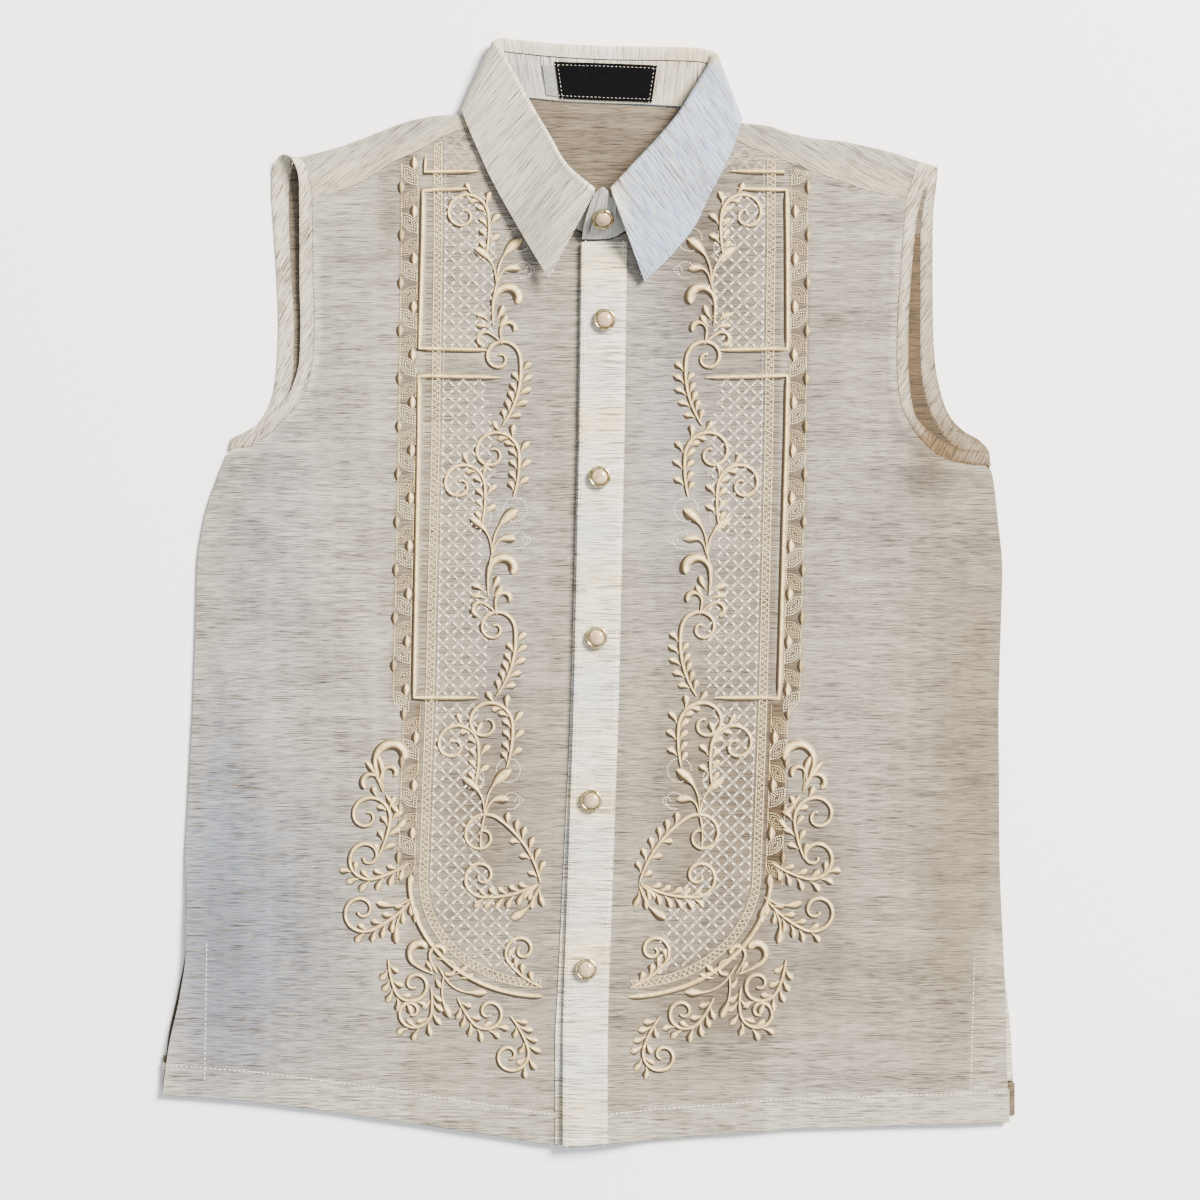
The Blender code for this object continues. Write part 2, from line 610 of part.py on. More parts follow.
def add_object(name, points, faces, finish, parent):
    """A mesh object of one finish, from points in millimetres."""
    mesh = bpy.data.meshes.new(name)
    mesh.from_pydata([tuple(MM * float(c) for c in point) for point in points], [], faces)
    mesh.materials.append(material(finish))
    mesh.shade_smooth()
    mesh.set_sharp_from_angle(angle=radians(40))
    made = bpy.data.objects.new(name, mesh)
    made.parent = parent
    bpy.context.scene.collection.objects.link(made)
    return made


def add_cloth(name, grid, finish, parent, thickness=CLOTH):
    """A cloth piece: a wall about its grid."""
    points, faces = wall(grid, thickness)
    return add_object(name, points, faces, finish, parent)


# ---------------------------------------------------------------- body panels


def hem_fold(plan, height, side):
    """Rows of a turned-up hem, from its stitched edge down and round the fold.

    plan holds the (x, y) of the hem's bottom at each column. side is -1 where the
    turn-up lies under the panel and +1 where it lies on it.
    """
    radius = LAYER / 2
    rows = []
    for fraction in TURN_UP_FRACTIONS:
        rise = HEM_TURN + fraction * (HEM_DEPTH - HEM_TURN)
        rows.append([(x, y + rise, height(x, y + rise) + side * LAYER) for x, y in plan])
    for step in range(1, FOLD_STEPS):
        angle = pi * step / FOLD_STEPS
        row = []
        for x, y in plan:
            middle = height(x, y + HEM_TURN) + side * radius
            low = y + HEM_TURN - radius * sin(angle)
            row.append((x, low, middle + side * radius * cos(angle)))
        rows.append(row)
    return rows


def front_plan(side):
    """Rows of (x, y) over a front, and how many of them reach the centre front."""

    def across(y, is_body, fraction=0.0):
        strip_start = placket_x(y) if side == "left" else under_placket_x(y)
        strip = [strip_start, strip_start + PLACKET_WIDTH / 2, strip_start + PLACKET_WIDTH]
        outer = edge_x(side, False, y)
        if side == "left":
            xs = strip[:2] + list(np.linspace(strip[2], outer, BODY_COLUMNS + 1))
        else:
            xs = list(np.linspace(outer, strip[0], BODY_COLUMNS + 1)) + strip[1:]
        if not is_body:
            return [(x, y) for x in xs]
        row = []
        for x in xs:
            low = hem_y(x) + HEM_TURN
            row.append((x, low + (UPPER_ROWS[0] - low) * fraction))
        return row

    corner = hem_y(edge_x(side, False, HEM_CORNER))
    rows = []
    for k in range(BODY_ROWS):
        fraction = k / BODY_ROWS
        rows.append(across(corner + (UPPER_ROWS[0] - corner) * fraction, True, fraction))
    rows += [across(y, False) for y in UPPER_ROWS]
    reach = len(rows)
    seam_end = YOKE_SEAMS[side][0, 1] - YOKE_SEAM_EASE
    upper = [(edge_x(side, False, y), y) for y in NECK_ROWS + [seam_end]]
    upper += [(x, y - YOKE_SEAM_EASE) for x, y in YOKE_SEAMS[side][1:-1]]
    for outer, y in upper:
        neck = neck_x(side, y)
        ends = (neck, outer) if side == "left" else (outer, neck)
        rows.append([(x, y) for x in np.linspace(*ends, BODY_COLUMNS + 3)])
    return rows, reach


def front_grid(side):
    """(grid, strip): the front with its hem, and the points that its placket lies on."""
    height = left_front_height if side == "left" else front_height
    plan, reach = front_plan(side)
    fold = hem_fold([(x, y - HEM_TURN) for x, y in plan[0]], height, -1)
    panel = np.array([[(x, y, height(x, y)) for x, y in row] for row in plan])
    strip = panel[:reach, :3] if side == "left" else panel[:reach, -3:]
    return np.concatenate([np.array(fold), panel]), strip


def back_height(x, y):
    """The back lies flat."""
    return BACK_MIDDLE


def back_grid():
    """The back, from its turned-up hem to the yoke seam."""
    columns = BACK_COLUMNS
    plan = []
    for k in range(BODY_ROWS):
        fraction = k / BODY_ROWS
        y = HEM_CORNER + (UPPER_ROWS[0] - HEM_CORNER) * fraction
        xs = np.linspace(edge_x("right", True, y), edge_x("left", True, y), columns + 1)
        lows = [hem_y(x, True) + HEM_TURN for x in xs]
        plan.append([(x, low + (UPPER_ROWS[0] - low) * fraction) for x, low in zip(xs, lows)])
    for y in UPPER_ROWS[:-1] + [YOKE_BACK_SEAM - SEAM]:
        xs = np.linspace(edge_x("right", True, y), edge_x("left", True, y), columns + 1)
        plan.append([(x, y) for x in xs])
    fold = hem_fold([(x, y - HEM_TURN) for x, y in plan[0]], back_height, 1)
    panel = [[(x, y, back_height(x, y)) for x, y in row] for row in plan]
    return np.array(fold + panel)


def vent_facing_grid(vent, side, back):
    """A vent's facing, inside its panel, from just over the hem's turn-up to the vent's top."""
    if back:
        height = back_height
        layer = LAYER
    else:
        height = left_front_height if side == "left" else front_height
        layer = -LAYER
    rows = []
    low = hem_y(edge_x(side, back, HEM_CORNER), back) + HEM_DEPTH + VENT_HEM_GAP
    for fraction in np.linspace(0, 1, VENT_ROWS):
        row = []
        for across in (0.0, 0.5, 1.0):
            top = vent.outer_top_y + (vent.inner_top_y - vent.outer_top_y) * across
            y = low + (top - low) * fraction
            outer = edge_x(side, back, y)
            outer -= VENT_INSET if side == "left" else -VENT_INSET
            inner = vent.inner_hem_x + (vent.inner_top_x - vent.inner_hem_x) * fraction
            x = outer + (inner - outer) * across
            row.append((x, y, height(x, y) + layer))
        rows.append(row if side == "right" else row[::-1])
    return np.array(rows)


# ---------------------------------------------------------------- yoke


def shoulder_column(row, height):
    """Points from the back yoke seam up, round the shoulder fold and down to the front seam."""
    start = np.array([row.fold_x, YOKE_BACK_SEAM])
    fold = np.array([row.fold_x, row.fold_y])
    seam = np.array([row.seam_x, row.seam_y])
    low = yoke_back_height(row.fold_x, row.fold_y)
    high = height(row.fold_x, row.fold_y)
    radius = (high - low) / 2
    inner = fold - (0, radius)
    points = []
    for fraction in YOKE_BACK_STEPS:
        x, y = start + (inner - start) * fraction
        points.append((x, y, yoke_back_height(x, y)))
    for step in (1, 2, 3):
        angle = pi * step / 4
        lift = low + radius - radius * cos(angle)
        points.append((fold[0], inner[1] + radius * sin(angle), lift))
    for fraction in (0.0, 0.5, 1.0):
        x, y = inner + (seam - inner) * fraction
        points.append((x, y, height(x, y)))
    return points


def yoke_grid():
    """The yoke: columns over both shoulders, and shorter ones to the back neck."""
    columns = []
    for armhole, shoulder in (
        (RIGHT_ARMHOLE, RIGHT_SHOULDER),
        (LEFT_ARMHOLE, LEFT_SHOULDER),
    ):
        rows = [row for row in armhole if row.stretch == "shoulder"]
        seam = np.array([(row.seam_x, row.seam_y, row.seam_z) for row in rows])
        free = np.array([(row.open_x, row.open_y, row.open_z) for row in rows])
        end = seam + ARMHOLE_EASE * unit(seam - free)
        columns.append([end] + [shoulder_column(row, front_height) for row in shoulder])
    neck = []
    for x in YOKE_NECK_COLUMNS:
        top = neck_back_y(x) - NECK_EASE
        column_points = []
        for fraction in YOKE_BACK_STEPS:
            y = YOKE_BACK_SEAM + (top - YOKE_BACK_SEAM) * fraction
            column_points.append((x, y, yoke_back_height(x, y)))
        absent = len(columns[0][0]) - len(column_points)
        neck.append(column_points + [(np.nan,) * 3] * absent)
    right, left = columns
    return np.array(right + neck + left[::-1]).transpose(1, 0, 2)


def neck_back_y(x):
    """The back neck seam."""
    rows = [row for row in COLLAR if row.turn >= 135]
    return float(np.interp(x, column(rows, "neck_x"), column(rows, "neck_y")))


# ---------------------------------------------------------------- armhole bands


def band_grid(table):
    """A band, from its seam to its free edge, all round its armhole."""
    rows = []
    for row in table:
        seam_z, open_z = row.seam_z, row.open_z
        if seam_z is None:
            seam_z = front_height(row.seam_x, row.seam_y)
            open_z = max(seam_z - 0.4, BACK_MIDDLE + LAYER)
        rows.append((row.seam_x, row.seam_y, seam_z, row.open_x, row.open_y, open_z))
    rows = np.array(rows, float)
    seam, free = rows[:, :3], rows[:, 3:]
    return np.stack([seam, (seam + free) / 2, free], axis=1)


# ---------------------------------------------------------------- collar


def collar_sections():
    """Smooth columns of the collar's table, as arrays."""
    rows = np.array([tuple(row) for row in COLLAR], float)
    dense = spline(rows, COLLAR_SPANS)
    neck, roll, edge = dense[:, 0:3], dense[:, 3:6], dense[:, 6:9]
    return neck, roll, edge, np.radians(dense[:, 9]), dense[:, 10:11]


def collar_frame():
    """Where each section's stand turns into the roll, and the ways that it goes and looks."""
    neck, roll, edge, turn, radius = collar_sections()
    world_up = np.array([0.0, 0.0, 1.0])
    wearer_left = np.where(np.arange(len(neck)) * 2 < len(neck) - 1, -1.0, 1.0)[:, None]
    top = roll
    for _ in range(4):
        up_stand = unit(top - neck)
        upright = unit(world_up - (up_stand @ world_up)[:, None] * up_stand)
        aside = wearer_left * unit(np.cross(up_stand, upright))
        face = np.cos(turn)[:, None] * upright + np.sin(turn)[:, None] * aside
        top = roll - radius * (face + up_stand)
    return neck, top, edge, up_stand, face, radius


def stand_grid():
    """The stand: its under lap, the ring below the leaf, and its over lap."""
    neck, top, _, up_stand, _, _ = collar_frame()
    sewn = top - ROLL_SEAM * up_stand
    first = [((row.neck_x, row.neck_y, row.neck_z), (row.top_x, row.top_y, row.top_z))
             for row in UNDER_LAP]
    last = [((row.neck_x, row.neck_y, row.neck_z), (row.top_x, row.top_y, row.top_z))
            for row in OVER_LAP]
    ring = list(zip(neck, sewn))
    pairs = [(np.array(a), np.array(b)) for a, b in first + ring + last]
    return np.array([[a + (b - a) * t for t in np.linspace(0, 1, 4)] for a, b in pairs])


def leaf_grid():
    """The leaf: from its seam on the stand, round the roll and down to its free edge."""
    _, top, edge, up_stand, face, radius = collar_frame()
    rows = []
    for k in range(len(top)):
        out = [top[k] - (ROLL_SEAM - LEAF_EASE) * up_stand[k]]
        centre = top[k] + radius[k] * face[k]
        for step in range(ROLL_STEPS + 1):
            angle = pi * step / ROLL_STEPS
            arc = -cos(angle) * face[k] + sin(angle) * up_stand[k]
            out.append(centre + radius[k] * arc)
        leaving = out[-1]
        for fraction in (0.3, 0.65, 1.0):
            out.append(leaving + (edge[k] - leaving) * fraction)
        rows.append(out)
    grid = np.array(rows)
    grid[..., 2] = np.maximum(grid[..., 2], COLLAR_CLOTH / 2)
    return grid


def tag_grid(tag):
    """A tag on the inside of the stand, from the stand's own points, moved out."""
    neck, top, *_ = collar_frame()
    back = slice(SHOULDER_SECTIONS, -SHOULDER_SECTIONS)
    columns = []
    for x in np.linspace(tag.left_x, tag.right_x, 5):
        low = np.array([np.interp(x, neck[back, 0], neck[back, axis]) for axis in range(3)])
        high = np.array([np.interp(x, top[back, 0], top[back, axis]) for axis in range(3)])
        along = unit(high - low)
        columns.append([low + height * along for height in np.linspace(tag.bottom, tag.top, 3)])
    return moved_out(np.array(columns).transpose(1, 0, 2), COLLAR_CLOTH / 2 + CLOTH / 2 + SEAM)


# ---------------------------------------------------------------- buttons


def rim_profile():
    """A cup with a rolled rim round the pearl's seat."""
    seat = BUTTON_PEARL_RADIUS + 0.3
    radius, height = BUTTON_RIM_RADIUS, BUTTON_RIM_HEIGHT
    return [
        (radius - 1.4, 0.0),
        (radius - 0.2, 0.8),
        (radius, height * 0.6),
        (radius - 0.7, height),
        (seat, height * 0.8),
        (seat, 1.2),
    ]


def pearl_profile():
    """A dome that sits in the cup."""
    rows = [(BUTTON_PEARL_RADIUS, 1.5)]
    for step in (0, 1, 2, 3):
        angle = radians(22 * step)
        lift = BUTTON_RIM_HEIGHT * 0.7 + BUTTON_PEARL_RISE * sin(angle)
        rows.append((BUTTON_PEARL_RADIUS * cos(angle), lift))
    return rows


def add_buttons(over_lap, placket, parent):
    """Six buttons, each a rim and a pearl, square to the cloth under them."""
    grid, normals = over_lap
    seats = [seat_on(grid, normals, COLLAR_BUTTON, COLLAR_CLOTH)]
    grid, normals = placket
    seats += [seat_on(grid, normals, button, CLOTH) for button in PLACKET_BUTTONS]
    rim = turned(rim_profile(), BUTTON_SIDES)
    pearl = turned(pearl_profile(), BUTTON_SIDES)
    for number, (place, facing) in enumerate(seats, start=1):
        turn = Vector((0, 0, 1)).rotation_difference(Vector(facing)).to_matrix().to_4x4()
        frame = Matrix.Translation(Vector(place) * MM) @ turn
        for name, shape, finish in (("rim", rim, "gilt_metal"), ("pearl", pearl, "pearl")):
            made = add_object(f"button_{number}_{name}", *shape, finish, parent)
            made.matrix_local = frame


def seat_on(grid, normals, button, thickness):
    """The point just over a cloth's face at a button's place, and the way the cloth looks."""
    flat = grid.reshape(-1, 3)
    looks = normals.reshape(-1, 3)
    near = np.argsort(np.hypot(flat[:, 0] - button.x, flat[:, 1] - button.y))[:4]
    weights = 1 / (1 + np.hypot(flat[near, 0] - button.x, flat[near, 1] - button.y))
    facing = unit(np.average(looks[near], axis=0, weights=weights))
    centre = np.average(flat[near], axis=0, weights=weights)
    slide = np.array([button.x, button.y]) - centre[:2]
    height = centre[2] - float(slide @ facing[:2]) / facing[2]
    place = np.array([button.x, button.y, height]) + (thickness / 2 + button.shank) * facing
    return place, facing


# ---------------------------------------------------------------- the shirt


def clear_scene():
    """Removes the objects that Blender starts with."""
    for old in list(bpy.data.objects):
        bpy.data.objects.remove(old)


def build_shirt():
    """Builds every piece under one empty, the shirt's own frame."""
    shirt = bpy.data.objects.new("shirt_frame", None)
    bpy.context.scene.collection.objects.link(shirt)
    right, right_strip = front_grid("right")
    left, left_strip = front_grid("left")
    add_cloth("back_panel", back_grid(), "body_cloth", shirt)
    add_cloth("yoke", yoke_grid(), "body_cloth", shirt)
    add_cloth("right_front", right, "body_cloth", shirt)
    add_cloth("left_front", left, "body_cloth", shirt)
    add_cloth("under_placket", moved_out(right_strip, LAYER), "doubled_cloth", shirt)
    placket = moved_out(left_strip, LAYER)
    add_cloth("placket", placket, "doubled_cloth", shirt)
    for side, vent in (("right", RIGHT_VENT), ("left", LEFT_VENT)):
        for back in (False, True):
            name = f"{side}_{'back' if back else 'front'}_vent_facing"
            add_cloth(name, vent_facing_grid(vent, side, back), "doubled_cloth", shirt)
    add_cloth("right_armhole_band", band_grid(RIGHT_ARMHOLE), "doubled_cloth", shirt)
    add_cloth("left_armhole_band", band_grid(LEFT_ARMHOLE), "doubled_cloth", shirt)
    stand = stand_grid()
    add_cloth("collar_stand", stand, "collar_cloth", shirt, COLLAR_CLOTH)
    add_cloth("collar_leaf", leaf_grid(), "collar_cloth", shirt, COLLAR_CLOTH)
    add_cloth("label", tag_grid(LABEL), "label_weave", shirt)
    add_cloth("size_tab", tag_grid(SIZE_TAB), "tab_weave", shirt)
    over_lap = stand[-len(OVER_LAP):]
    add_buttons((over_lap, grid_normals(over_lap)), (placket, grid_normals(placket)), shirt)


clear_scene()
build_shirt()
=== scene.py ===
"""Looks of a sleeveless barong tagalog shirt, buttoned and laid flat on its back.

Lengths are in millimetres in the shirt's own frame, +X to the wearer's left, +Y to the
collar and +Z up off the table, and become metres where a mesh is made. Every cloth piece
is a thin shell on the form of the CAD wall that it replaces: a coarse plan of the piece,
refined along smooth curves, then lifted to the height at which the cloth lies.
"""

import logging
from dataclasses import dataclass, field
from enum import Enum
from math import atan2, cos, pi, radians, sin
from typing import Callable, Iterable, Sequence

import bpy
import numpy as np
from mathutils import Matrix, Vector


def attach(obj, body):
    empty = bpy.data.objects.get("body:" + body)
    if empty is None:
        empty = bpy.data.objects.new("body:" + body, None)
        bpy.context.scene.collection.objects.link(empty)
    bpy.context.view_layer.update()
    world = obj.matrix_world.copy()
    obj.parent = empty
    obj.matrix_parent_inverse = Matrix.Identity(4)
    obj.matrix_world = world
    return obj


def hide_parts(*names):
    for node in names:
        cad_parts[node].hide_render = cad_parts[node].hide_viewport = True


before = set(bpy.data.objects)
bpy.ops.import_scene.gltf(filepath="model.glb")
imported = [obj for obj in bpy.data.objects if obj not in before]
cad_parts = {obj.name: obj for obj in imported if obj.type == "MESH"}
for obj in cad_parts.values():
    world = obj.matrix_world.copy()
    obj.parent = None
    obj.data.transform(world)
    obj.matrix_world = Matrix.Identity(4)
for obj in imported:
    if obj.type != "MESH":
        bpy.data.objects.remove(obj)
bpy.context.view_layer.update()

LOG = logging.getLogger("barong")
MM = 0.001
SQUARE_CM = 0.0001
BODY = "root"
Array = np.ndarray
Heights = Callable[[Array, Array], Array]
Triple = tuple[float, float, float]
Object = bpy.types.Object
Material = bpy.types.Material
Tree = bpy.types.NodeTree
Socket = bpy.types.NodeSocket


class Side(Enum):
    """The wearer's side, by the sign of its x."""

    RIGHT = -1
    LEFT = 1

    @property
    def word(self) -> str:
        """The side's name, as the CAD nodes write it."""
        return self.name.lower()


class Table:
    """Rows of numbers under named columns, each column an array."""

    def __init__(self, names: str, *rows: tuple[float, ...]) -> None:
        """Takes the columns' names, then the rows."""
        self.names = names.split()
        for name, values in zip(self.names, zip(*rows)):
            setattr(self, name, np.array(values, float))

    def at(self, name: str, by: str, where: Array) -> Array:
        """One column where another has this value, along straight lines between rows."""
        return np.interp(where, getattr(self, by), getattr(self, name))

    def grid(self, *names: str) -> Array:
        """Some columns side by side."""
        return np.stack([getattr(self, name) for name in names], axis=1)

    @property
    def rows(self) -> Array:
        """All the columns side by side."""
        return self.grid(*self.names)


def table(names: str, *rows: tuple[float, ...]) -> Table:
    """A table as the default of a dataclass's field."""
    return field(default_factory=lambda: Table(names, *rows))


# -------- sizes of the cut

CLOTH = 0.5  # a shell of one layer of cloth
CLOTH_WALL = 1.0  # the CAD wall that stands for it
COLLAR_CLOTH = 1.2
SEAM = 0.35
YOKE_SEAM_EASE = 0.3
ARMHOLE_EASE = 0.3
LAYER = 1.4  # from the middle of one layer to the middle of the layer lying on it
HEM_DEPTH = 20.0
HEM_TURN = LAYER / 2 + CLOTH_WALL / 2
HEM_CORNER = -310.0
HEM_FADE = 40.0
PLACKET_WIDTH = 27.0
BACK_SHORTER = 4.0
BACK_FLARE = 4.0
FLARE_TOP = -215.0
FLARE_FADE = 60.0
VENT_INSET = 0.4
VENT_HEM_GAP = 1.4
BACK_MIDDLE = 0.5
LAP_RISE = 2 * LAYER + 0.1
LAP_EASE = 5.0
LAP_FADE = 30.0
EDGE_FADE = 48.0
YOKE_RISE = 1.9
YOKE_RISE_RIGHT, YOKE_RISE_LEFT = -106.0, 124.0
YOKE_RISE_LOW = 247.0
YOKE_RISE_FADE = 26.5
ROLL_SEAM = 5.0
NECK_EASE = 1.25
YOKE_BACK_SEAM = 217.0
SHADOW_SIDE_WAY = (-0.85, -0.53)  # the way that a satin stroke's side in painted shade faces, in plan, away from the key light
BAND_AT, BAND_HALF = 117.6, 4.6  # the embroidered leaf band, out from the centre front
BAND_STEP, BAND_STEP_AT = 6.8, -66.0  # how far its foot is set in, and below where

SIDE_SEAMS = Table(
    "y right left",
    (-320, -257, 254.5), (-294.5, -256.5, 253), (-264, -251, 252.5), (-234, -244, 251.5),
    (-203.5, -241.5, 250), (-158, -243, 248.5), (-113, -241, 248.5), (-67.5, -238.5, 248),
    (-22, -237, 249.5), (16, -236, 250.5), (38.5, -233.5, 248.5), (53.5, -229.5, 246.5),
    (68.5, -224.5, 244.5),
)
HEM_LINE = Table(
    "x y",
    (-257, -303), (-202.5, -307), (-150.5, -313.5), (-89.5, -322.5), (-14.5, -334), (12.5, -332),
    (77, -327), (122, -323.5), (254.5, -319.5),
)
PLACKET_EDGE = Table(
    "y edge under_shows",
    (-334.5, -15, 4.6), (-246, -15, 4.6), (-64.5, -8.5, 2), (93, -5, 1), (214, -3.5, 1),
)

# Armhole bands up the back, over the shoulder and down the front: seam, then free edge.
PLAN = "seam_x seam_y open_x open_y"
LOOP = "seam_x seam_y seam_z open_x open_y open_z"
ARMHOLES = {
    Side.RIGHT: {
        "back": Table(
            PLAN,
            (-217, 87, -215, 94), (-203.5, 89.5, -207.5, 97.5), (-198.5, 93, -204, 99.5),
            (-193, 98, -200, 102.5), (-188, 104, -196.5, 107), (-183.2, 112, -192.8, 113.5),
            (-180, 124, -189.6, 124), (-178, 142, -187.6, 142), (-177.8, 165, -187, 165),
            (-179.3, 190, -188, 190),
        ),
        "shoulder": Table(
            LOOP,
            (-180.6, 217, 0.5, -189.7, 218, 0.5), (-181, 231, 0.5, -190.7, 232, 0.5),
            (-181, 241, 0.5, -191.2, 241.5, 0.6), (-180.5, 250, 0.6, -191, 249.5, 0.9),
            (-179.5, 256.5, 1, -190.3, 256.5, 1.9), (-178.3, 261, 2.2, -188, 262, 3.6),
            (-175, 262.8, 4.2, -184, 264.6, 6), (-171.5, 260, 6.3, -179.2, 262.3, 8.6),
            (-168.8, 254, 6.9, -175.6, 256.3, 9), (-167.3, 247, 6.3, -174, 248.5, 8),
            (-166.5, 239.5, 5.5, -174, 239.5, 6.4),
        ),
        "front": Table(
            PLAN,
            (-166.1, 212, -174, 212), (-166, 190, -174, 190), (-165.2, 165, -173.5, 165),
            (-166.3, 142, -174.2, 142), (-170.6, 124, -178.6, 125), (-177.5, 112, -185.5, 115),
            (-185, 104, -191.5, 108.8), (-190.7, 98, -196.5, 104.5), (-197.7, 93, -202.2, 100.5),
            (-203.5, 89.5, -207.5, 97.5), (-217, 87, -215, 94),
        ),
    },
    Side.LEFT: {
        "back": Table(
            PLAN,
            (243.5, 77, 242.5, 86), (236, 79, 240, 89.5), (231, 81.5, 237, 92.5),
            (227.5, 84, 233.8, 94.6), (223.8, 87, 230, 96.5), (221, 89.5, 227.4, 98.2),
            (217.5, 93, 225, 100.2), (213.3, 98, 222.3, 102.8), (209.8, 104, 219.4, 106.5),
            (206.3, 112, 216.3, 112.5), (203.1, 124, 212.7, 124), (201.2, 142, 209.7, 142),
            (201, 165, 208.7, 165), (201, 190, 208.5, 190),
        ),
        "shoulder": Table(
            LOOP,
            (201.2, 217, 0.5, 208.5, 217, 0.5), (202.2, 228, 0.5, 208.7, 228, 0.5),
            (203.4, 236.5, 0.5, 209.3, 236.5, 0.6), (204.5, 244, 0.6, 210.3, 244, 0.8),
            (204.8, 251, 0.9, 211, 250.5, 1.2), (203.8, 257, 1.7, 211.4, 255.2, 2),
            (201.3, 260.2, 3.1, 210.6, 257.5, 3.5), (198.6, 258.5, 4.8, 208.4, 256, 5.2),
            (196.6, 252.5, 5.7, 206, 250.5, 6), (194.6, 245.5, 5.8, 203.3, 244, 5.9),
            (192.3, 238.5, 5.5, 200.5, 237.5, 5.5),
        ),
        "front": Table(
            PLAN,
            (190, 212, 196.8, 212), (188.5, 190, 195, 190), (187, 165, 193.6, 165),
            (186.6, 142, 193.4, 142), (187.6, 124, 194.6, 122.4), (190.2, 112, 197.4, 109.2),
            (194, 104, 201, 103.2), (197.7, 98, 204.5, 99.6), (201.8, 93, 208.4, 96.2),
            (205, 89.5, 211.2, 94), (207.7, 87, 213.6, 92.4), (211.5, 84, 216.8, 90.4),
            (216.5, 81.5, 221, 88.6), (224, 79, 227.5, 87), (243.5, 77, 242.5, 86),
        ),
    },
}
SHOULDERS = {
    Side.RIGHT: Table(
        "fold_x fold_y seam_x seam_y",
        (-150, 269.5, -148, 243.5), (-135, 275, -133.5, 250.5), (-120, 281, -117, 260.5),
        (-106, 285.7, -103, 267), (-92, 288.2, -90.5, 274), (-79, 288.8, -77, 279.8),
        (-66, 289.8, -66, 282.4), (-54, 292.2, -55.6, 284),
    ),
    Side.LEFT: Table(
        "fold_x fold_y seam_x seam_y",
        (182.5, 266.5, 178, 241), (167.5, 270, 163, 245), (152.5, 273, 148, 250.5),
        (137.5, 274.5, 133, 255.7), (122, 278, 119.5, 261), (108, 282.3, 107, 265.7),
        (96, 283.5, 95.5, 270.5), (84.5, 284.8, 84.5, 275), (74.8, 286.6, 75.8, 278.2),
    ),
}
YOKE_BACK_STEPS = (0.0, 0.4, 0.62, 0.8, 1.0)
YOKE_NECK_COLUMNS = (-48.0, -38.0, -15.0, 11.0, 37.0, 58.0, 69.0)

# Collar, from the wearer's right front point round the back to the left one: neck seam,
# roll and leaf edge. turn is the way that the stand looks: 0 up, 90 aside, 180 down.
COLLAR = Table(
    "neck_x neck_y neck_z roll_x roll_y roll_z edge_x edge_y edge_z turn radius",
    (0, 216.5, 5.6, 4, 241, 25, -23.5, 189.5, 14.5, 0, 2.2),
    (-19, 228, 5.6, -12.5, 255.5, 24, -35.5, 209.5, 12, 0, 2.2),
    (-32.5, 244, 5.6, -23.5, 274.5, 20, -47, 229.5, 10.5, 0, 2.2),
    (-45, 260.5, 5.6, -34, 293, 16, -58, 249.5, 9.5, 0, 2.2),
    (-53, 278.5, 5.6, -44.5, 312.5, 13, -67.5, 270.5, 8.9, 0, 2.2),
    (-53.5, 287.5, 5.8, -50, 322.5, 12, -72.5, 282, 8.6, 15, 2.3),
    (-52.6, 292.8, 5.4, -54, 330.5, 10.5, -75.3, 289.8, 7.8, 45, 2.5),
    (-51.6, 295.5, 4.2, -55.3, 333, 7.6, -76.2, 292.2, 4.6, 90, 2.8),
    (-50.2, 297, 3.1, -54, 334, 5.2, -75, 290.8, 1.5, 135, 3),
    (-47, 298.5, 2.7, -51, 334.5, 4.2, -71.5, 287.8, 0.8, 165, 3.1),
    (-38, 299.7, 2.6, -42.5, 333.7, 4, -60, 286.2, 0.75, 180, 3.2),
    (-15.5, 297.7, 2.6, -20, 331.5, 3.95, -26, 285.8, 0.75, 180, 3.2),
    (11, 296.5, 2.6, 11, 330, 3.95, 11, 285.5, 0.75, 180, 3.2),
    (37.5, 295.5, 2.6, 42.5, 329.5, 3.95, 48.5, 284, 0.75, 180, 3.2),
    (60, 293.8, 2.6, 63, 329, 4, 77, 281.8, 0.75, 180, 3.2),
    (68, 291.8, 2.7, 71, 328, 4.2, 88.5, 282, 0.8, 165, 3.1),
    (71, 290.2, 3.1, 74.5, 327, 5.2, 91.7, 284.5, 1.5, 135, 3),
    (72.3, 288.5, 4.2, 76, 325, 7.6, 92.9, 286.4, 4.6, 90, 2.8),
    (73.3, 285.5, 5.4, 75, 322, 10.5, 92, 284, 7.8, 45, 2.5),
    (74, 280.5, 5.8, 71, 314.5, 12, 89.8, 275.5, 8.6, 15, 2.3),
    (72.5, 272, 5.8, 66, 306.5, 13, 84.5, 261.5, 8.9, 0, 2.2),
    (63, 254.5, 6, 55, 288.5, 16, 74, 241.5, 9.5, 0, 2.2),
    (50, 239.5, 6.6, 42, 272, 20.5, 64, 221, 10, 0, 2.2),
    (35.5, 226.5, 7.6, 28, 256.5, 25, 50, 203.5, 11, 0, 2.2),
    (19, 216.5, 8.6, 14, 241, 28, 34, 187.5, 12, 0, 2.2),
)
LAP = "neck_x neck_y neck_z top_x top_y top_z"
UNDER_LAP = Table(
    LAP,
    (18, 215, 5.6, 16.5, 231, 18.3), (13, 214.7, 5.6, 12.3, 236, 21.8),
    (7, 215, 5.6, 7.5, 239.6, 24.5),
)
OVER_LAP = Table(
    LAP,
    (17.2, 215.5, 8.6, 13.3, 236.2, 22), (13, 214, 8.7, 10.6, 240.8, 28.4),
    (7, 213.6, 8.7, 7, 240.5, 28.4), (1.5, 213.6, 8.7, 2.8, 235.5, 25),
    (-1.8, 213.6, 8.7, 0.3, 229.5, 20.6), (-3.5, 213.6, 8.7, -2.4, 221, 14.2),
)
COLLAR_SPANS = 6
SHOULDER_SECTIONS = 27
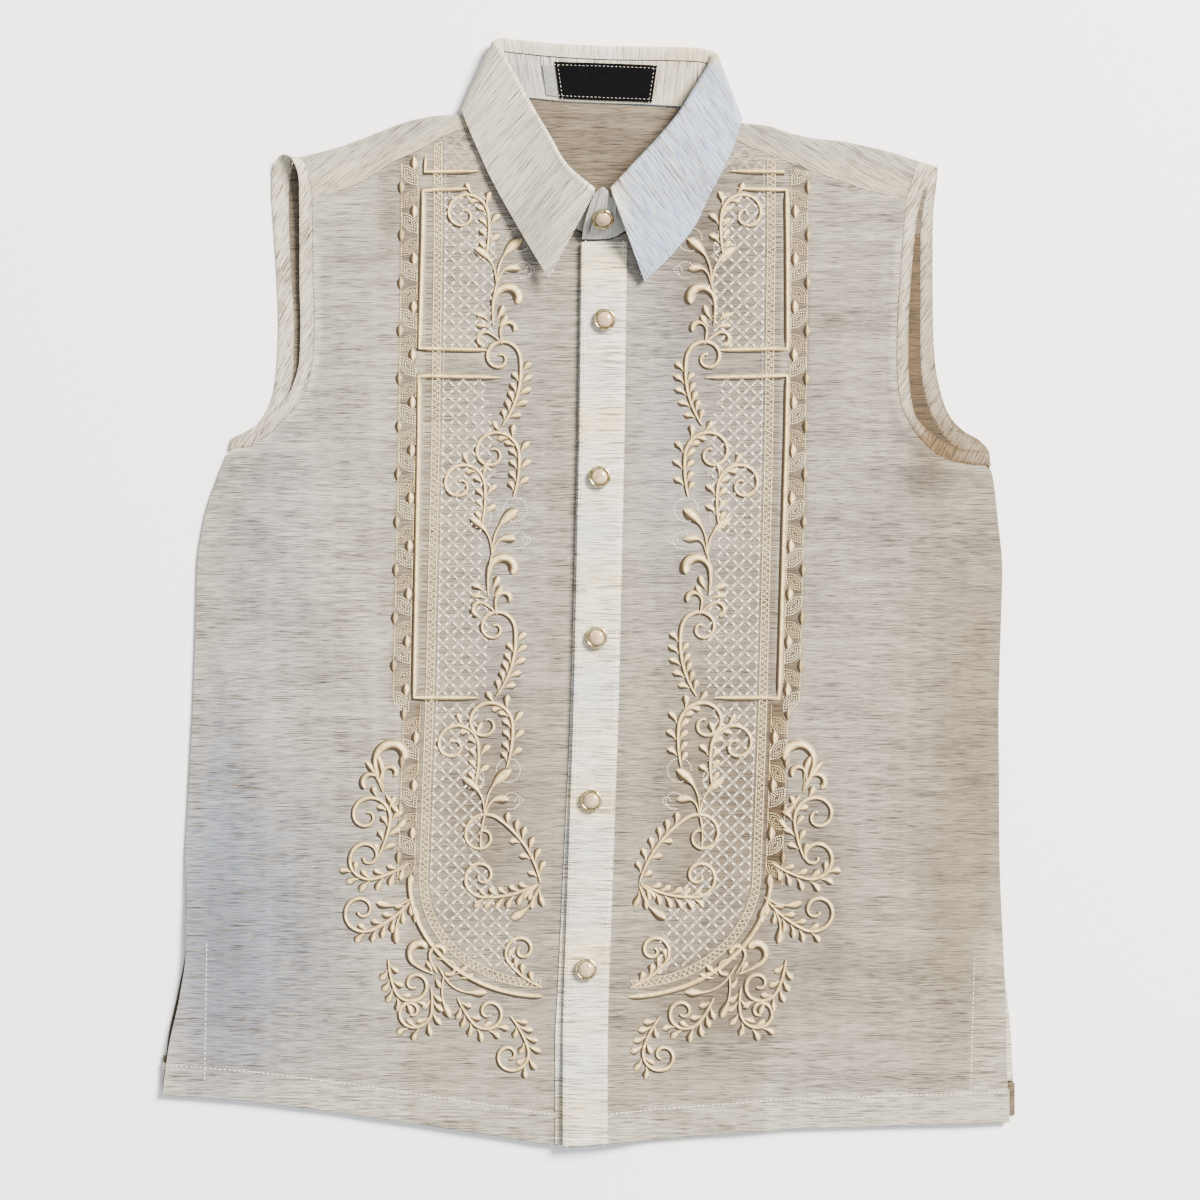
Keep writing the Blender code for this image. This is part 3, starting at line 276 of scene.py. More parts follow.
ROLL_STEPS = 10
LEAF_EASE = 0.7

# What each sheet was cut to: width and length, then its area in square centimetres.
CUTS = {
    "back_panel": (515, 566, 2586), "right_front": (265, 642, 1396),
    "left_front": (270, 640, 1432), "placket": (27, 547, 147.6),
    "under_placket": (27, 547, 147.6), "right_front_vent_facing": (22.3, 79.6, 11.9),
    "right_back_vent_facing": (21.6, 75.6, 11), "left_front_vent_facing": (22.3, 92.1, 16.8),
    "left_back_vent_facing": (26.1, 88.1, 18), "yoke": (386, 105, 291),
    "right_armhole_band": (10, 402, 34), "left_armhole_band": (10, 423, 34.8),
    "collar_stand": (357, 28, 99), "collar_leaf": (412, 68, 224), "label": (55.5, 22.2, 12.3),
    "size_tab": (10, 18, 1.24),
}
# A vent's inner top corner, the x of its inner foot and the y of its outer top corner.
VENTS = {
    Side.RIGHT: (-230.0, -212.0, -231.5, -202.0),
    Side.LEFT: (233.0, -220.5, 230.5, -206.0),
}

# Height of a front's middle surface at its side edge and away from it, up the body.
FRONT_REST = Table(
    "y edge middle",
    (-340, 4.8, 4.9), (-290, 4.8, 5.2), (-200, 4.8, 5.4), (-150, 1.9, 5.4), (90, 1.9, 5.6),
    (130, 2.8, 5.6), (190, 4.4, 5.6), (240, 5.5, 5.4), (300, 5.5, 5.4),
)
# Soft creases of the fronts: a ridge (or, below zero, a trough) along a line.
CREASES = Table(
    "x1 y1 x2 y2 half_width height",
    (-215, 60, -120, -60, 42, 2.6), (-205, 10, -150, -120, 35, -1.6),
    (-150, 240, -128, 60, 32, 1.8), (-110, -80, -165, -260, 42, 2.4),
    (-60, 120, -45, -220, 32, 1.4), (212, 52, 120, -20, 38, 3), (228, 40, 190, -90, 32, -1.6),
    (165, 230, 150, 70, 32, 1.8), (110, -70, 175, -240, 45, 2.4), (60, 110, 52, -200, 32, 1.2),
)
CREASE_END_SHARE = 0.3

BODY_ROWS = 13
BODY_COLUMNS = 10
BACK_COLUMNS = 14
VENT_ROWS = 5
UPPER_ROWS = [
    74.0, 77.0, 79.0, 81.5, 84.0, 87.0, 89.5, 93.0, 98.0, 104.0, 112.0, 124.0, 142.0, 165.0,
    190.0, 211.5,
]
NECK_ROWS = [213.0, 215.0, 219.0, 226.0, 233.0]
FOLD_STEPS = 6
TURN_UP_FRACTIONS = (1.0, 0.5, 0.0)

# -------- curves and grids


def smooth(t: Array | float) -> Array:
    """0 to 1 with level ends."""
    t = np.clip(t, 0.0, 1.0)
    return t * t * (3 - 2 * t)


def unit(vectors: Array) -> Array:
    """Each vector at length one."""
    return vectors / np.maximum(np.linalg.norm(vectors, axis=-1, keepdims=True), 1e-9)


def joined(*parts: Array) -> Array:
    """Numbers side by side, as the last axis."""
    return np.stack(parts, axis=-1)


def lengths_along(line: Array) -> Array:
    """How far along a line each of its points lies."""
    return np.concatenate([[0], np.cumsum(np.linalg.norm(np.diff(line, axis=0), axis=1))])


def read_off(where: Array | float, knots: Array, rows: Array) -> Array:
    """Rows of numbers along straight lines between known places."""
    return joined(*(np.interp(where, knots, column) for column in rows.T))


def spline(points: Array, spans: int) -> Array:
    """A smooth curve through evenly weighted points.

    Args:
        points: Rows of numbers, one for each point.
        spans: Steps from one point to the next.

    Returns:
        The rows of the finer curve.
    """
    points = np.asarray(points, float)
    padded = np.vstack([2 * points[0] - points[1], points, 2 * points[-1] - points[-2]])
    out = []
    for i in range(len(points) - 1):
        a, b, c, d = padded[i : i + 4]
        for t in np.arange(spans) / spans:
            bend = t * (2 * a - 5 * b + 4 * c - d + t * (3 * (b - c) + d - a))
            out.append(b + 0.5 * t * (c - a + bend))
    return np.array(out + [points[-1]])


def eased(knots: Array, values: Array, where: Array) -> Array:
    """Values on a smooth curve through unevenly spaced knots, with no overshoot.

    Args:
        knots: Rising places of the known rows.
        values: The known rows.
        where: Places to read.

    Returns:
        One row for each place.
    """
    steps = np.diff(knots)
    rise = np.diff(values, axis=0) / steps[:, None]
    slope = np.zeros_like(values)
    slope[0], slope[-1] = rise[0], rise[-1]
    before, after = rise[:-1], rise[1:]
    agree = before * after > 0
    slope[1:-1] = np.where(agree, 2 * before * after / np.where(agree, before + after, 1), 0)
    i = np.clip(np.searchsorted(knots, where, side="right") - 1, 0, len(steps) - 1)
    h = steps[i][:, None]
    t = (where - knots[i])[:, None] / h
    start = values[i] * (1 + 2 * t) + slope[i] * h * t
    end = values[i + 1] * (3 - 2 * t) + slope[i + 1] * h * (t - 1)
    return start * (1 - t) ** 2 + end * t * t


def moved_aside(points: Array, distance: float) -> Array:
    """A plan curve moved to the left of its own direction.

    Args:
        points: Rows of x and y.
        distance: How far, in millimetres.

    Returns:
        The moved curve.
    """
    points = np.asarray(points, float)
    along = unit(np.gradient(points, axis=0))
    return points + distance * joined(-along[:, 1], along[:, 0])


def runs(present: Array) -> list[Array]:
    """The stretches of neighbouring true places."""
    places = np.flatnonzero(present)
    breaks = np.flatnonzero(np.diff(places) > 1) + 1
    return [run for run in np.split(places, breaks) if len(run) > 1]


def finer_rows(grid: Array, cell: float) -> tuple[Array, Array]:
    """A grid with rows worked out between its own.

    Args:
        grid: Points by row and column; absent ones are nan.
        cell: About how far apart the new rows lie.

    Returns:
        The finer grid, and where each of the old rows is in it.
    """
    gaps = np.maximum(np.nanmean(np.linalg.norm(np.diff(grid, axis=0), axis=-1), axis=1), 1e-3)
    counts = np.maximum(1, np.round(gaps / cell).astype(int))
    knots = np.concatenate([[0.0], np.cumsum(gaps)])
    index = np.concatenate([[0], np.cumsum(counts)])
    where = np.interp(np.arange(index[-1] + 1), index, knots)
    out = np.full((len(where), *grid.shape[1:]), np.nan)
    for j in range(grid.shape[1]):
        for run in runs(~np.isnan(grid[:, j, 0])):
            inside = slice(index[run[0]], index[run[-1]] + 1)
            out[inside, j] = eased(knots[run], grid[run, j], where[inside])
    return out, index


def finer(grid: Array, cell: float) -> tuple[Array, Array, Array]:
    """A grid refined both ways, and where its old rows and columns are.

    Args:
        grid: Points by row and column; absent ones are nan.
        cell: About how far apart the new ones lie.

    Returns:
        The finer grid, then the numbers of its old rows and columns.
    """
    grid, rows = finer_rows(grid, cell)
    grid, columns = finer_rows(grid.swapaxes(0, 1), cell)
    return grid.swapaxes(0, 1), rows, columns


def cells_of(present: Array) -> tuple[Array, Array]:
    """Numbers of a grid's present points, and the four corners of each whole cell.

    Args:
        present: Which of the grid's points there are.

    Returns:
        The numbers, -1 where absent, and rows of four point numbers.
    """
    index = np.full(present.shape, -1)
    index[present] = np.arange(present.sum())
    corners = [index[:-1, :-1], index[:-1, 1:], index[1:, 1:], index[1:, :-1]]
    whole = np.all([corner >= 0 for corner in corners], axis=0)
    return index, np.stack([corner[whole] for corner in corners], axis=1)


def normals_of(grid: Array) -> Array:
    """The way that the surface looks at each point of a grid.

    Args:
        grid: Points by row and column; absent ones are nan.

    Returns:
        Unit vectors, of the grid's own form.
    """
    present = ~np.isnan(grid[..., 0])
    points = grid[present]
    _, quads = cells_of(present)
    a, b, c, d = (points[quads[:, k]] for k in range(4))
    looks = np.zeros_like(points)
    for k in range(4):
        np.add.at(looks, quads[:, k], np.cross(c - a, d - b))
    out = np.zeros_like(grid)
    out[present] = unit(looks)
    return out


def moved_out(grid: Array, distance: Array | float) -> Array:
    """A grid's points moved along the surface's own direction."""
    return grid + distance * normals_of(grid)


@dataclass
class Shape:
    """Points in millimetres with faces, and what each point carries to its material."""

    points: Array
    faces: list[tuple[int, ...]]
    uv: Array | None = None
    tone: Array | None = None


def wall(grid: Array, thickness: float, uv: Array, tone: Array) -> Shape:
    """A closed wall about a grid.

    Args:
        grid: Middle surface; absent points are nan.
        thickness: Thickness of the wall.
        uv: Where each point is on the cloth, in millimetres.
        tone: Warm, cool, shaded and doubled shares at each point.

    Returns:
        The wall, with its faces outwards.
    """
    present = ~np.isnan(grid[..., 0])
    _, quads = cells_of(present)
    middle, out = grid[present], normals_of(grid)[present] * thickness / 2
    count = len(middle)
    edges = np.concatenate([quads[:, [k, (k + 1) % 4]] for k in range(4)])
    key, twin = edges[:, 0] * count + edges[:, 1], edges[:, 1] * count + edges[:, 0]
    rim = edges[~np.isin(key, twin)]
    a, b = rim[:, 0], rim[:, 1]
    sides = joined(b, a, a + count, b + count)
    faces = np.concatenate([quads, quads[:, ::-1] + count, sides])
    return Shape(
        np.vstack([middle + out, middle - out]),
        faces.tolist(),
        np.tile(uv[present], (2, 1)),
        np.tile(tone[present], (2, 1)),
    )


def turned(profile: Sequence[tuple[float, float]], sides: int) -> Shape:
    """A closed profile of (radius, height), bottom to top, turned about Z.

    Args:
        profile: Pairs of radius and height.
        sides: Points in each ring.

    Returns:
        The closed solid.
    """
    angles = 2 * pi * np.arange(sides) / sides
    ring = joined(np.cos(angles), np.sin(angles))
    points = np.vstack([np.column_stack([ring * r, np.full(sides, z)]) for r, z in profile])
    faces = []
    for start in range(0, len(points) - sides, sides):
        for k in range(sides):
            a, b = start + k, start + (k + 1) % sides
            faces.append((a, b, b + sides, a + sides))
    faces.append(tuple(range(sides))[::-1])
    faces.append(tuple(range(len(points) - sides, len(points))))
    return Shape(points, faces)


# -------- how the shirt lies


def outline(side: Side, back: bool) -> Array:
    """(x, y) up one side of the back or of a front: side seam, then armhole seam.

    Args:
        side: The wearer's side.
        back: Whether it is the back's outline.

    Returns:
        Its points, from the hem up.
    """
    outline_x = SIDE_SEAMS.left if side is Side.LEFT else SIDE_SEAMS.right
    if back and side is Side.LEFT:
        outline_x = outline_x + BACK_FLARE * smooth((FLARE_TOP - SIDE_SEAMS.y) / FLARE_FADE)
    into = ARMHOLE_EASE * side.value * (1 if back else -1)
    tables = ARMHOLES[side]
    seam = moved_aside(tables["back" if back else "front"].grid("seam_x", "seam_y"), into)
    top = moved_aside(tables["shoulder"].grid("seam_x", "seam_y"), into)
    seam, end = (seam, top[:1]) if back else (seam[::-1], top[-1:])
    return np.vstack([joined(outline_x, SIDE_SEAMS.y), seam, end])


def neck_edge(side: Side) -> Array:
    """(x, y) up a front's neck edge, beside the stand's own seam line.

    Args:
        side: Which front.

    Returns:
        Its points, from the lap up to the shoulder.
    """
    line = COLLAR.grid("neck_x", "neck_y")
    if side is Side.RIGHT:
        lap = [(25.0, 215.0), (12.0, 215.0)]
        line = line[(line[:, 0] < 5) & (line[:, 1] < 289)]
    else:
        lap = [(-5.0, 213.6), (10.0, 213.6)]
        line = line[(line[:, 0] > 18) & (line[:, 1] < 287)][::-1]
    return moved_aside(spline(np.vstack([lap, line]), 3), -side.value * NECK_EASE)


def yoke_seam(side: Side) -> Array:
    """(x, y) along the front yoke seam, from the armhole to the neck."""
    last = ARMHOLES[side]["shoulder"].grid("seam_x", "seam_y")[-1:]
    return np.vstack([last, SHOULDERS[side].grid("seam_x", "seam_y")])


OUTLINES = {(side, back): outline(side, back) for side in Side for back in (True, False)}
NECK_EDGES = {side: neck_edge(side) for side in Side}
YOKE_SEAMS = {side: yoke_seam(side) for side in Side}


def edge_x(side: Side, back: bool, y: Array) -> Array:
    """Where the side of the back or of a front is at this height."""
    curve = OUTLINES[side, back]
    return np.interp(y, curve[:, 1], curve[:, 0])


def hem_y(x: Array, back: bool = False) -> Array:
    """Bottom of the hem."""
    return HEM_LINE.at("y", "x", x) + (BACK_SHORTER if back else 0.0)


def placket_x(y: Array) -> Array:
    """Free edge of the buttonhole placket."""
    return PLACKET_EDGE.at("edge", "y", y)


def under_placket_x(y: Array) -> Array:
    """The edge of the button strip that shows beside the placket."""
    return placket_x(y) - PLACKET_EDGE.at("under_shows", "y", y)


def centre_front(y: Array) -> Array:
    """The middle of the placket, about which the embroidery is mirrored."""
    return placket_x(y) + PLACKET_WIDTH / 2


def neck_x(side: Side, y: float) -> float:
    """Where a front's neck edge is at this height."""
    curve = NECK_EDGES[side]
    x = float(np.interp(y, curve[:, 1], curve[:, 0]))
    return min(x, float(under_placket_x(y)) + PLACKET_WIDTH) if side is Side.RIGHT else x


def neck_back_y(x: float) -> float:
    """The back neck seam."""
    rows = COLLAR.turn >= 135
    return float(np.interp(x, COLLAR.neck_x[rows], COLLAR.neck_y[rows]))


@dataclass
class Lie:
    """The heights at which the layers of the laid shirt rest."""

    fine_creases: Table = table(
        "x1 y1 x2 y2 half_width height",
        (-222, 62, -168, 18, 9, 0.9), (-216, 44, -158, -30, 12, -0.8),
        (-232, -20, -196, -96, 14, 0.7), (-150, 30, -132, -70, 16, 0.6),
        (-205, -120, -182, -250, 18, -0.6), (-98, 70, -84, -60, 18, 0.4),
        (-36, 90, -28, -60, 9, 0.4), (-40, -110, -34, -270, 11, -0.4),
        (-160, 215, -142, 120, 11, 0.6), (-138, 236, -118, 176, 8, 0.5), (214, 66, 172, 10, 10, 1),
        (226, 58, 206, -30, 11, -0.9), (238, -30, 214, -130, 15, 0.7),
        (180, 20, 150, -80, 14, 0.6), (196, -120, 214, -262, 18, -0.5),
        (148, -100, 132, -230, 15, 0.5), (44, 100, 40, -40, 10, 0.4),
        (50, -120, 46, -280, 12, -0.4), (176, 214, 164, 130, 11, 0.6),
        (146, 232, 130, 170, 8, 0.5),
    )
    ripple: float = 0.22  # the cloth's own unevenness between creases
    pucker: float = 0.16  # along the machine stitching of the hem and plackets
    seed: int = 7

    def __post_init__(self) -> None:
        """Draws the directions of the cloth's unevenness."""
        draw = np.random.default_rng(self.seed)
        lengths, ways = draw.uniform(34.0, 120.0, 14), draw.uniform(0.0, pi, 14)
        self.waves = joined(np.cos(ways), 0.45 * np.sin(ways)) * (2 * pi / lengths)[:, None]
        self.phases = draw.uniform(0.0, 2 * pi, 14)

    @staticmethod
    def folds(table: Table, x: Array, y: Array) -> Array:
        """Sum of a table's soft ridges and troughs.

        Args:
            table: Ends, half widths and heights of the creases.
            x: Where to read, across.
            y: Where to read, up the body.

        Returns:
            The heights that they add.
        """
        total = np.zeros(np.broadcast(x, y).shape)
        for x1, y1, x2, y2, half_width, height in table.rows:
            dx, dy = x2 - x1, y2 - y1
            length = (dx * dx + dy * dy) ** 0.5
            along = ((x - x1) * dx + (y - y1) * dy) / length
            aside = ((x - x1) * dy - (y - y1) * dx) / length
            fade = CREASE_END_SHARE * length
            ends = smooth(along / fade) * smooth((length - along) / fade)
            total = total + height * ends * smooth(1 - abs(aside) / half_width)
        return total

    def unevenness(self, x: Array, y: Array) -> Array:
        """Low swells of the cloth, and the puckers along its machine stitching.

        Args:
            x: Where to read, across.
            y: Where to read, up the body.

        Returns:
            The heights that they add.
        """
        swell = sum(
            np.sin(x * kx + y * ky + phase)
            for (kx, ky), phase in zip(self.waves, self.phases)
        )
        over_hem = np.exp(-(((y - hem_y(x) - HEM_DEPTH) / 7.0) ** 2))
        beside = np.exp(-(((x - placket_x(y) - PLACKET_WIDTH - 3.0) / 6.0) ** 2))
        beside = beside + np.exp(-(((x - under_placket_x(y) + 3.0) / 6.0) ** 2))
        pull = over_hem * np.sin(x / 2.6 + 1.7 * np.sin(x / 19.0))
        pull = pull + beside * np.sin(y / 3.3 + 1.9 * np.sin(y / 23.0))
        return self.ripple * swell / 2.2 + self.pucker * pull

    def front(self, x: Array, y: Array) -> Array:
        """Middle surface of the fronts, without the lap.

        Args:
            x: Where to read, across.
            y: Where to read, up the body.

        Returns:
            Heights over the table.
        """
        inset = np.minimum(x - edge_x(Side.RIGHT, False, y), edge_x(Side.LEFT, False, y) - x)
        edge, middle = FRONT_REST.at("edge", "y", y), FRONT_REST.at("middle", "y", y)
        inwards = smooth(inset / EDGE_FADE)
        creases = self.folds(CREASES, x, y) * inwards
        fine = self.folds(self.fine_creases, x, y) + self.unevenness(x, y)
        return edge + (middle - edge) * inwards + creases + fine * smooth(inset / 12.0)

    def lap(self, x: Array, y: Array) -> Array:
        """What the left front gains over the right one, where it laps over."""
        past = x - (placket_x(y) + PLACKET_WIDTH)
        over_hem = 1 - smooth((y - hem_y(x) - HEM_DEPTH - LAP_EASE) / HEM_FADE)
        return (LAP_RISE + LAYER * over_hem) * (1 - smooth(past / LAP_FADE))

    def left_front(self, x: Array, y: Array) -> Array:
        """Middle surface of the left front."""
        return self.front(x, y) + self.lap(x, y)

    def of(self, side: Side) -> Heights:
        """The height function of one front."""
        return self.left_front if side is Side.LEFT else self.front

    @staticmethod
    def back(x: Array, y: Array) -> Array:
        """The back lies flat."""
        return np.full(np.broadcast(x, y).shape, BACK_MIDDLE)

    @staticmethod
    def yoke_back(x: Array, y: Array) -> Array:
        """The back yoke's middle surface, which rises over the collar leaf."""
        right = smooth((x - YOKE_RISE_RIGHT) / YOKE_RISE_FADE)
        left = smooth((YOKE_RISE_LEFT - x) / YOKE_RISE_FADE)
        up = smooth((y - YOKE_RISE_LOW) / YOKE_RISE_FADE)
        return BACK_MIDDLE + YOKE_RISE * right * left * up


LIE = Lie()


def lifted(plan: Array, height: Heights, layer: float = 0.0) -> Array:
    """A plan of (x, y) raised to where its cloth lies."""
    x, y = plan[..., 0], plan[..., 1]
    return joined(x, y, height(x, y) + layer)


# -------- tones of the cloth


def band_at(y: Array | float) -> Array:
    """How far out the leaf band's middle lies."""
    return BAND_AT - BAND_STEP * (np.asarray(y) < BAND_STEP_AT)


# Soft patches of painted light and shade: the middle, half sizes and tilt of each, and its three
# shares, of painted warm light, painted cool light and painted shade.
TONES = Table(
    "x y half_x half_y turn warm cool shade",
    (-192, 20, 34, 120, 3, 0, 0.35, 0), (-190, -200, 44, 85, 0, 0, 0.75, 0.3),
    (-228, -220, 30, 90, 0, 0, 0.85, 0.35), (-120, 228, 9, 38, 4, 0, 0, 0.4),
    (-82, 20, 26, 220, 2, 0.1, 0, 0.12), (-52, 20, 24, 190, 2, 0, 0.2, 0),
    (-60, -130, 34, 70, 0, 0.2, 0, 0.4), (-222, -110, 16, 60, 2, 0, 0.4, 0),
    (48, 100, 26, 120, -2, 0, 0.35, 0), (80, -130, 44, 110, 0, 0.1, 0, 0.48),
    (96, 110, 26, 150, -3, 0, 0.1, 0.2), (206, 80, 24, 42, 33, 0, 0.2, 0.38),
    (206, 150, 14, 110, 0, 0, 0, 0.3), (236, -80, 34, 200, 2, 0.2, 0, 0.5),
    (186, -40, 40, 60, 10, 0.1, 0, 0.05), (206, -190, 44, 100, 0, 0.15, 0, 0.16),
    (72, 206, 32, 50, 0, 0, 0.15, 0.5), (-110, 210, 40, 30, 0, 0, 0.1, 0.1),
    (140, -172, 18, 50, 0, 0, 0, 0.35), (100, -240, 90, 30, 0, 0.1, 0, 0.36),
    (160, 160, 30, 80, 0, 0, 0.1, 0.3), (172, -30, 80, 250, 0, 0, 0.1, 0.2),
)


def tones_at(points: Array, doubled: Array | float = 0.0, shade: float = 0.0) -> Array:
    """The cloth's painted warm light, cool light and shade, and its paler doubled layers.

    Args:
        points: Points whose last axis starts with x and y.
        doubled: Share of paler, doubled cloth.
        shade: Painted shade, brown, added all over, as inside the shirt.

    Returns:
        Shares of painted warm light, painted cool light, painted shade and doubled cloth.
    """
    x, y = points[..., 0], points[..., 1]
    out = np.zeros((*x.shape, 4))
    for cx, cy, half_x, half_y, turn, *shares in TONES.rows:
        c, s = cos(radians(turn)), sin(radians(turn))
        u, v = (c * (x - cx) - s * (y - cy)) / half_x, (s * (x - cx) + c * (y - cy)) / half_y
        out[..., :3] += np.exp(-(u * u + v * v))[..., None] * np.array(shares)
    out[..., 2] += shade
    out[..., 3] = doubled
    return np.clip(np.nan_to_num(out), 0.0, 1.0)


def ramp_in(distance: Array, width: float = 1.5) -> Array:
    """1 on one side of a seam and 0 on the other, over a short width."""
    return smooth(0.5 + distance / width)


# -------- finishes


def linear(colour: str) -> tuple[float, float, float, float]:
    """An sRGB hex colour as linear light."""
    srgb = [int(colour[k : k + 2], 16) / 255 for k in (1, 3, 5)]
    return (*(c / 12.92 if c <= 0.04045 else ((c + 0.055) / 1.055) ** 2.4 for c in srgb), 1.0)


def node(tree: Tree, kind: str, inputs: dict | None = None,
         **settings: str | bool) -> bpy.types.Node:
    """Adds a node.

    Args:
        tree: The tree that it joins.
        kind: Blender's name of the node's type.
        inputs: Values or other nodes' sockets, by the name or number of its own socket.
        settings: Its properties.

    Returns:
        The node.
    """
    made = tree.nodes.new(kind)
    for name, value in settings.items():
        setattr(made, name, value)
    for name, value in (inputs or {}).items():
        if isinstance(value, Socket):
            tree.links.new(value, made.inputs[name])
        else:
            made.inputs[name].default_value = value
    return made


def blended(tree: Tree, share: Socket, first: Socket | str, second: Socket | str,
            kind: str = "MIX") -> Socket:
    """The socket of a mix of two colours, each of them a socket or an sRGB hex value.

    Args:
        tree: The material's tree.
        share: The socket of the second colour's share.
        first: The first colour.
        second: The second colour.
        kind: Blender's name of the blend.

    Returns:
        The socket.
    """
    first, second = (linear(c) if isinstance(c, str) else c for c in (first, second))
    inputs = {0: share, 6: first, 7: second}
    made = node(tree, "ShaderNodeMix", inputs, data_type="RGBA", blend_type=kind)
    return made.outputs[2]


def maths(tree: Tree, operation: str, *values: Socket | float) -> Socket:
    """The socket of a sum worked out at each point."""
    return node(tree, "ShaderNodeMath", dict(enumerate(values)), operation=operation).outputs[0]


def between(tree: Tree, value: Socket, low: float, high: float, top: float = 1.0,
            base: float = 0.0) -> Socket:
    """The socket of a value brought from low..high to base..top, and held there."""
    inputs = {0: value, 1: low, 2: high, 3: base, 4: top}
    return node(tree, "ShaderNodeMapRange", inputs, clamp=True).outputs[0]


def started(name: str, **constants: float) -> tuple[Material, Tree, bpy.types.Node]:
    """A new material with its shader's constants set.

    Args:
        name: The material's name.
        constants: Values by socket, with _ for each space.

    Returns:
        The material, its tree and its shader.
    """
    made = bpy.data.materials.new(name)
    made.use_nodes = True
    shader = made.node_tree.nodes["Principled BSDF"]
    for socket, value in constants.items():
        shader.inputs[socket.replace("_", " ")].default_value = value
    return made, made.node_tree, shader


def streaks(tree: Tree, uv: Socket, length: float, width: float,
            detail: float = 2.0) -> Socket:
    """The socket of noise drawn out along the weft, from sizes in millimetres.

    Args:
        tree: The material's tree.
        uv: The socket of places on the cloth.
        length: Length of a streak.
        width: Width of a streak.
        detail: Octaves of finer noise.

    Returns:
        The socket.
    """
    scale = (1000 / length, 1000 / width, 1.0)
    moved = node(tree, "ShaderNodeMapping", {"Vector": uv, "Scale": scale}).outputs[0]
    inputs = {"Vector": moved, "Scale": 1.0, "Detail": detail, "Roughness": 0.55}
    return node(tree, "ShaderNodeTexNoise", inputs, noise_dimensions="2D").outputs[0]


def patchy(tree: Tree, scale: float, detail: float, distortion: float = 0.0) -> Socket:
    """The socket of noise in the piece's own space, so many patches to a metre.

    Args:
        tree: The material's tree.
        scale: Patches to a metre.
        detail: Octaves of finer noise.
        distortion: How far the patches are warped.

    Returns:
        The socket.
    """
    place = node(tree, "ShaderNodeTexCoord").outputs["Object"]
    inputs = {"Vector": place, "Scale": scale, "Detail": detail, "Distortion": distortion}
    return node(tree, "ShaderNodeTexNoise", inputs).outputs[0]


def wired(tree: Tree, shader: bpy.types.Node, colour: Socket, height: Socket | None = None,
          strength: float = 0.5, distance: float = 0.0002) -> None:
    """Leads a colour, and the bump of a height if there is one, to the shader.

    Args:
        tree: The material's tree.
        shader: Its shader.
        colour: The socket of its colour.
        height: The socket of its height.
        strength: Share of the bump that shows.
        distance: Height of the bump, in metres.
    """
    tree.links.new(colour, shader.inputs["Base Color"])
    if height is not None:
        inputs = {"Height": height, "Strength": strength, "Distance": distance}
        bump = node(tree, "ShaderNodeBump", inputs)
        tree.links.new(bump.outputs[0], shader.inputs["Normal"])


@dataclass(frozen=True)
class SlubCloth:
    """Jusi, a crisp sheer cloth of silk and raw fibre, woven with uneven slubs in its weft.

    The slubs show as short brown dashes along the weft, and the silk gives a faint sheen. Each
    piece's tone attribute adds painted warm light, cool light and shade.
    """

    name: str
    ground: str = "#857E73"
    slub: str = "#2E2419"
    # warm, cool and shade are the colours of painted warm light, painted cool light and painted
    # shade
    warm: str = "#A18D66"
    cool: str = "#7F8AA2"
    shade: str = "#8A7350"
    doubled: str = "#BDB7A6"
    slub_share: float = 0.95
    slub_length: float = 32.0
    slub_width: float = 0.38
    roughness: float = 0.62

    def make(self) -> Material:
        """Builds the material.

        Returns:
            The material.
        """
        made, tree, shader = started(
            self.name, Roughness=self.roughness, Sheen_Weight=0.25, Sheen_Roughness=0.4,
            Specular_IOR_Level=0.3,
        )
        uv = node(tree, "ShaderNodeUVMap", uv_map="weave").outputs[0]
        tone = node(tree, "ShaderNodeVertexColor", layer_name="tone")
        parts = node(tree, "ShaderNodeSeparateColor", {0: tone.outputs[0]}).outputs
        colour = linear(self.ground)
        paler = maths(tree, "MULTIPLY", tone.outputs[1], 0.75)
        colour = blended(tree, paler, colour, self.doubled)
        # Bars of paler and darker weft, 60 to 200 mm long and a few millimetres high.
        bars = between(tree, streaks(tree, uv, 130.0, 5.0), 0.35, 0.7, 0.5)
        colour = blended(tree, bars, colour, self.doubled)
        # Warm and cool tints from the tone attribute: painted warm and cool light on most pieces,
        # and bands of the weft on the plackets.
        colour = blended(tree, parts[0], colour, self.warm)
        colour = blended(tree, parts[1], colour, self.cool)
        long_slubs = streaks(tree, uv, self.slub_length, self.slub_width)
        short_slubs = streaks(tree, uv, self.slub_length * 0.4, self.slub_width * 0.75)
        crowded = between(tree, streaks(tree, uv, 90.0, 22.0), 0.3, 0.7)
        edge = maths(tree, "SUBTRACT", 0.61, maths(tree, "MULTIPLY", crowded, 0.07))
        first = maths(tree, "MULTIPLY", maths(tree, "SUBTRACT", long_slubs, edge), 17.0)
        second = maths(tree, "MULTIPLY", maths(tree, "SUBTRACT", short_slubs, edge), 15.0)
        slubs = maths(tree, "MAXIMUM", first, second)
        slubs = between(tree, slubs, 0.0, 1.0, self.slub_share)
        colour = blended(tree, slubs, colour, self.slub)
        # Threads are 0.25 mm apart, too fine to show, so their grain is drawn at 0.7 mm.
        grain = streaks(tree, uv, 11.0, 0.7, 1.0)
        colour = blended(tree, between(tree, grain, 0.35, 0.7, 0.36), colour, self.doubled)
        # Painted shade, multiplied in last; inside the shirt it also stands for the brown seen
        # through the sheer cloth, and in the leaf band and the embroidered field for their darker
        # ground.
        colour = blended(tree, parts[2], colour, self.shade, "MULTIPLY")
        wired(tree, shader, colour, maths(tree, "ADD", slubs, grain), 0.4, 0.0004)
        return made


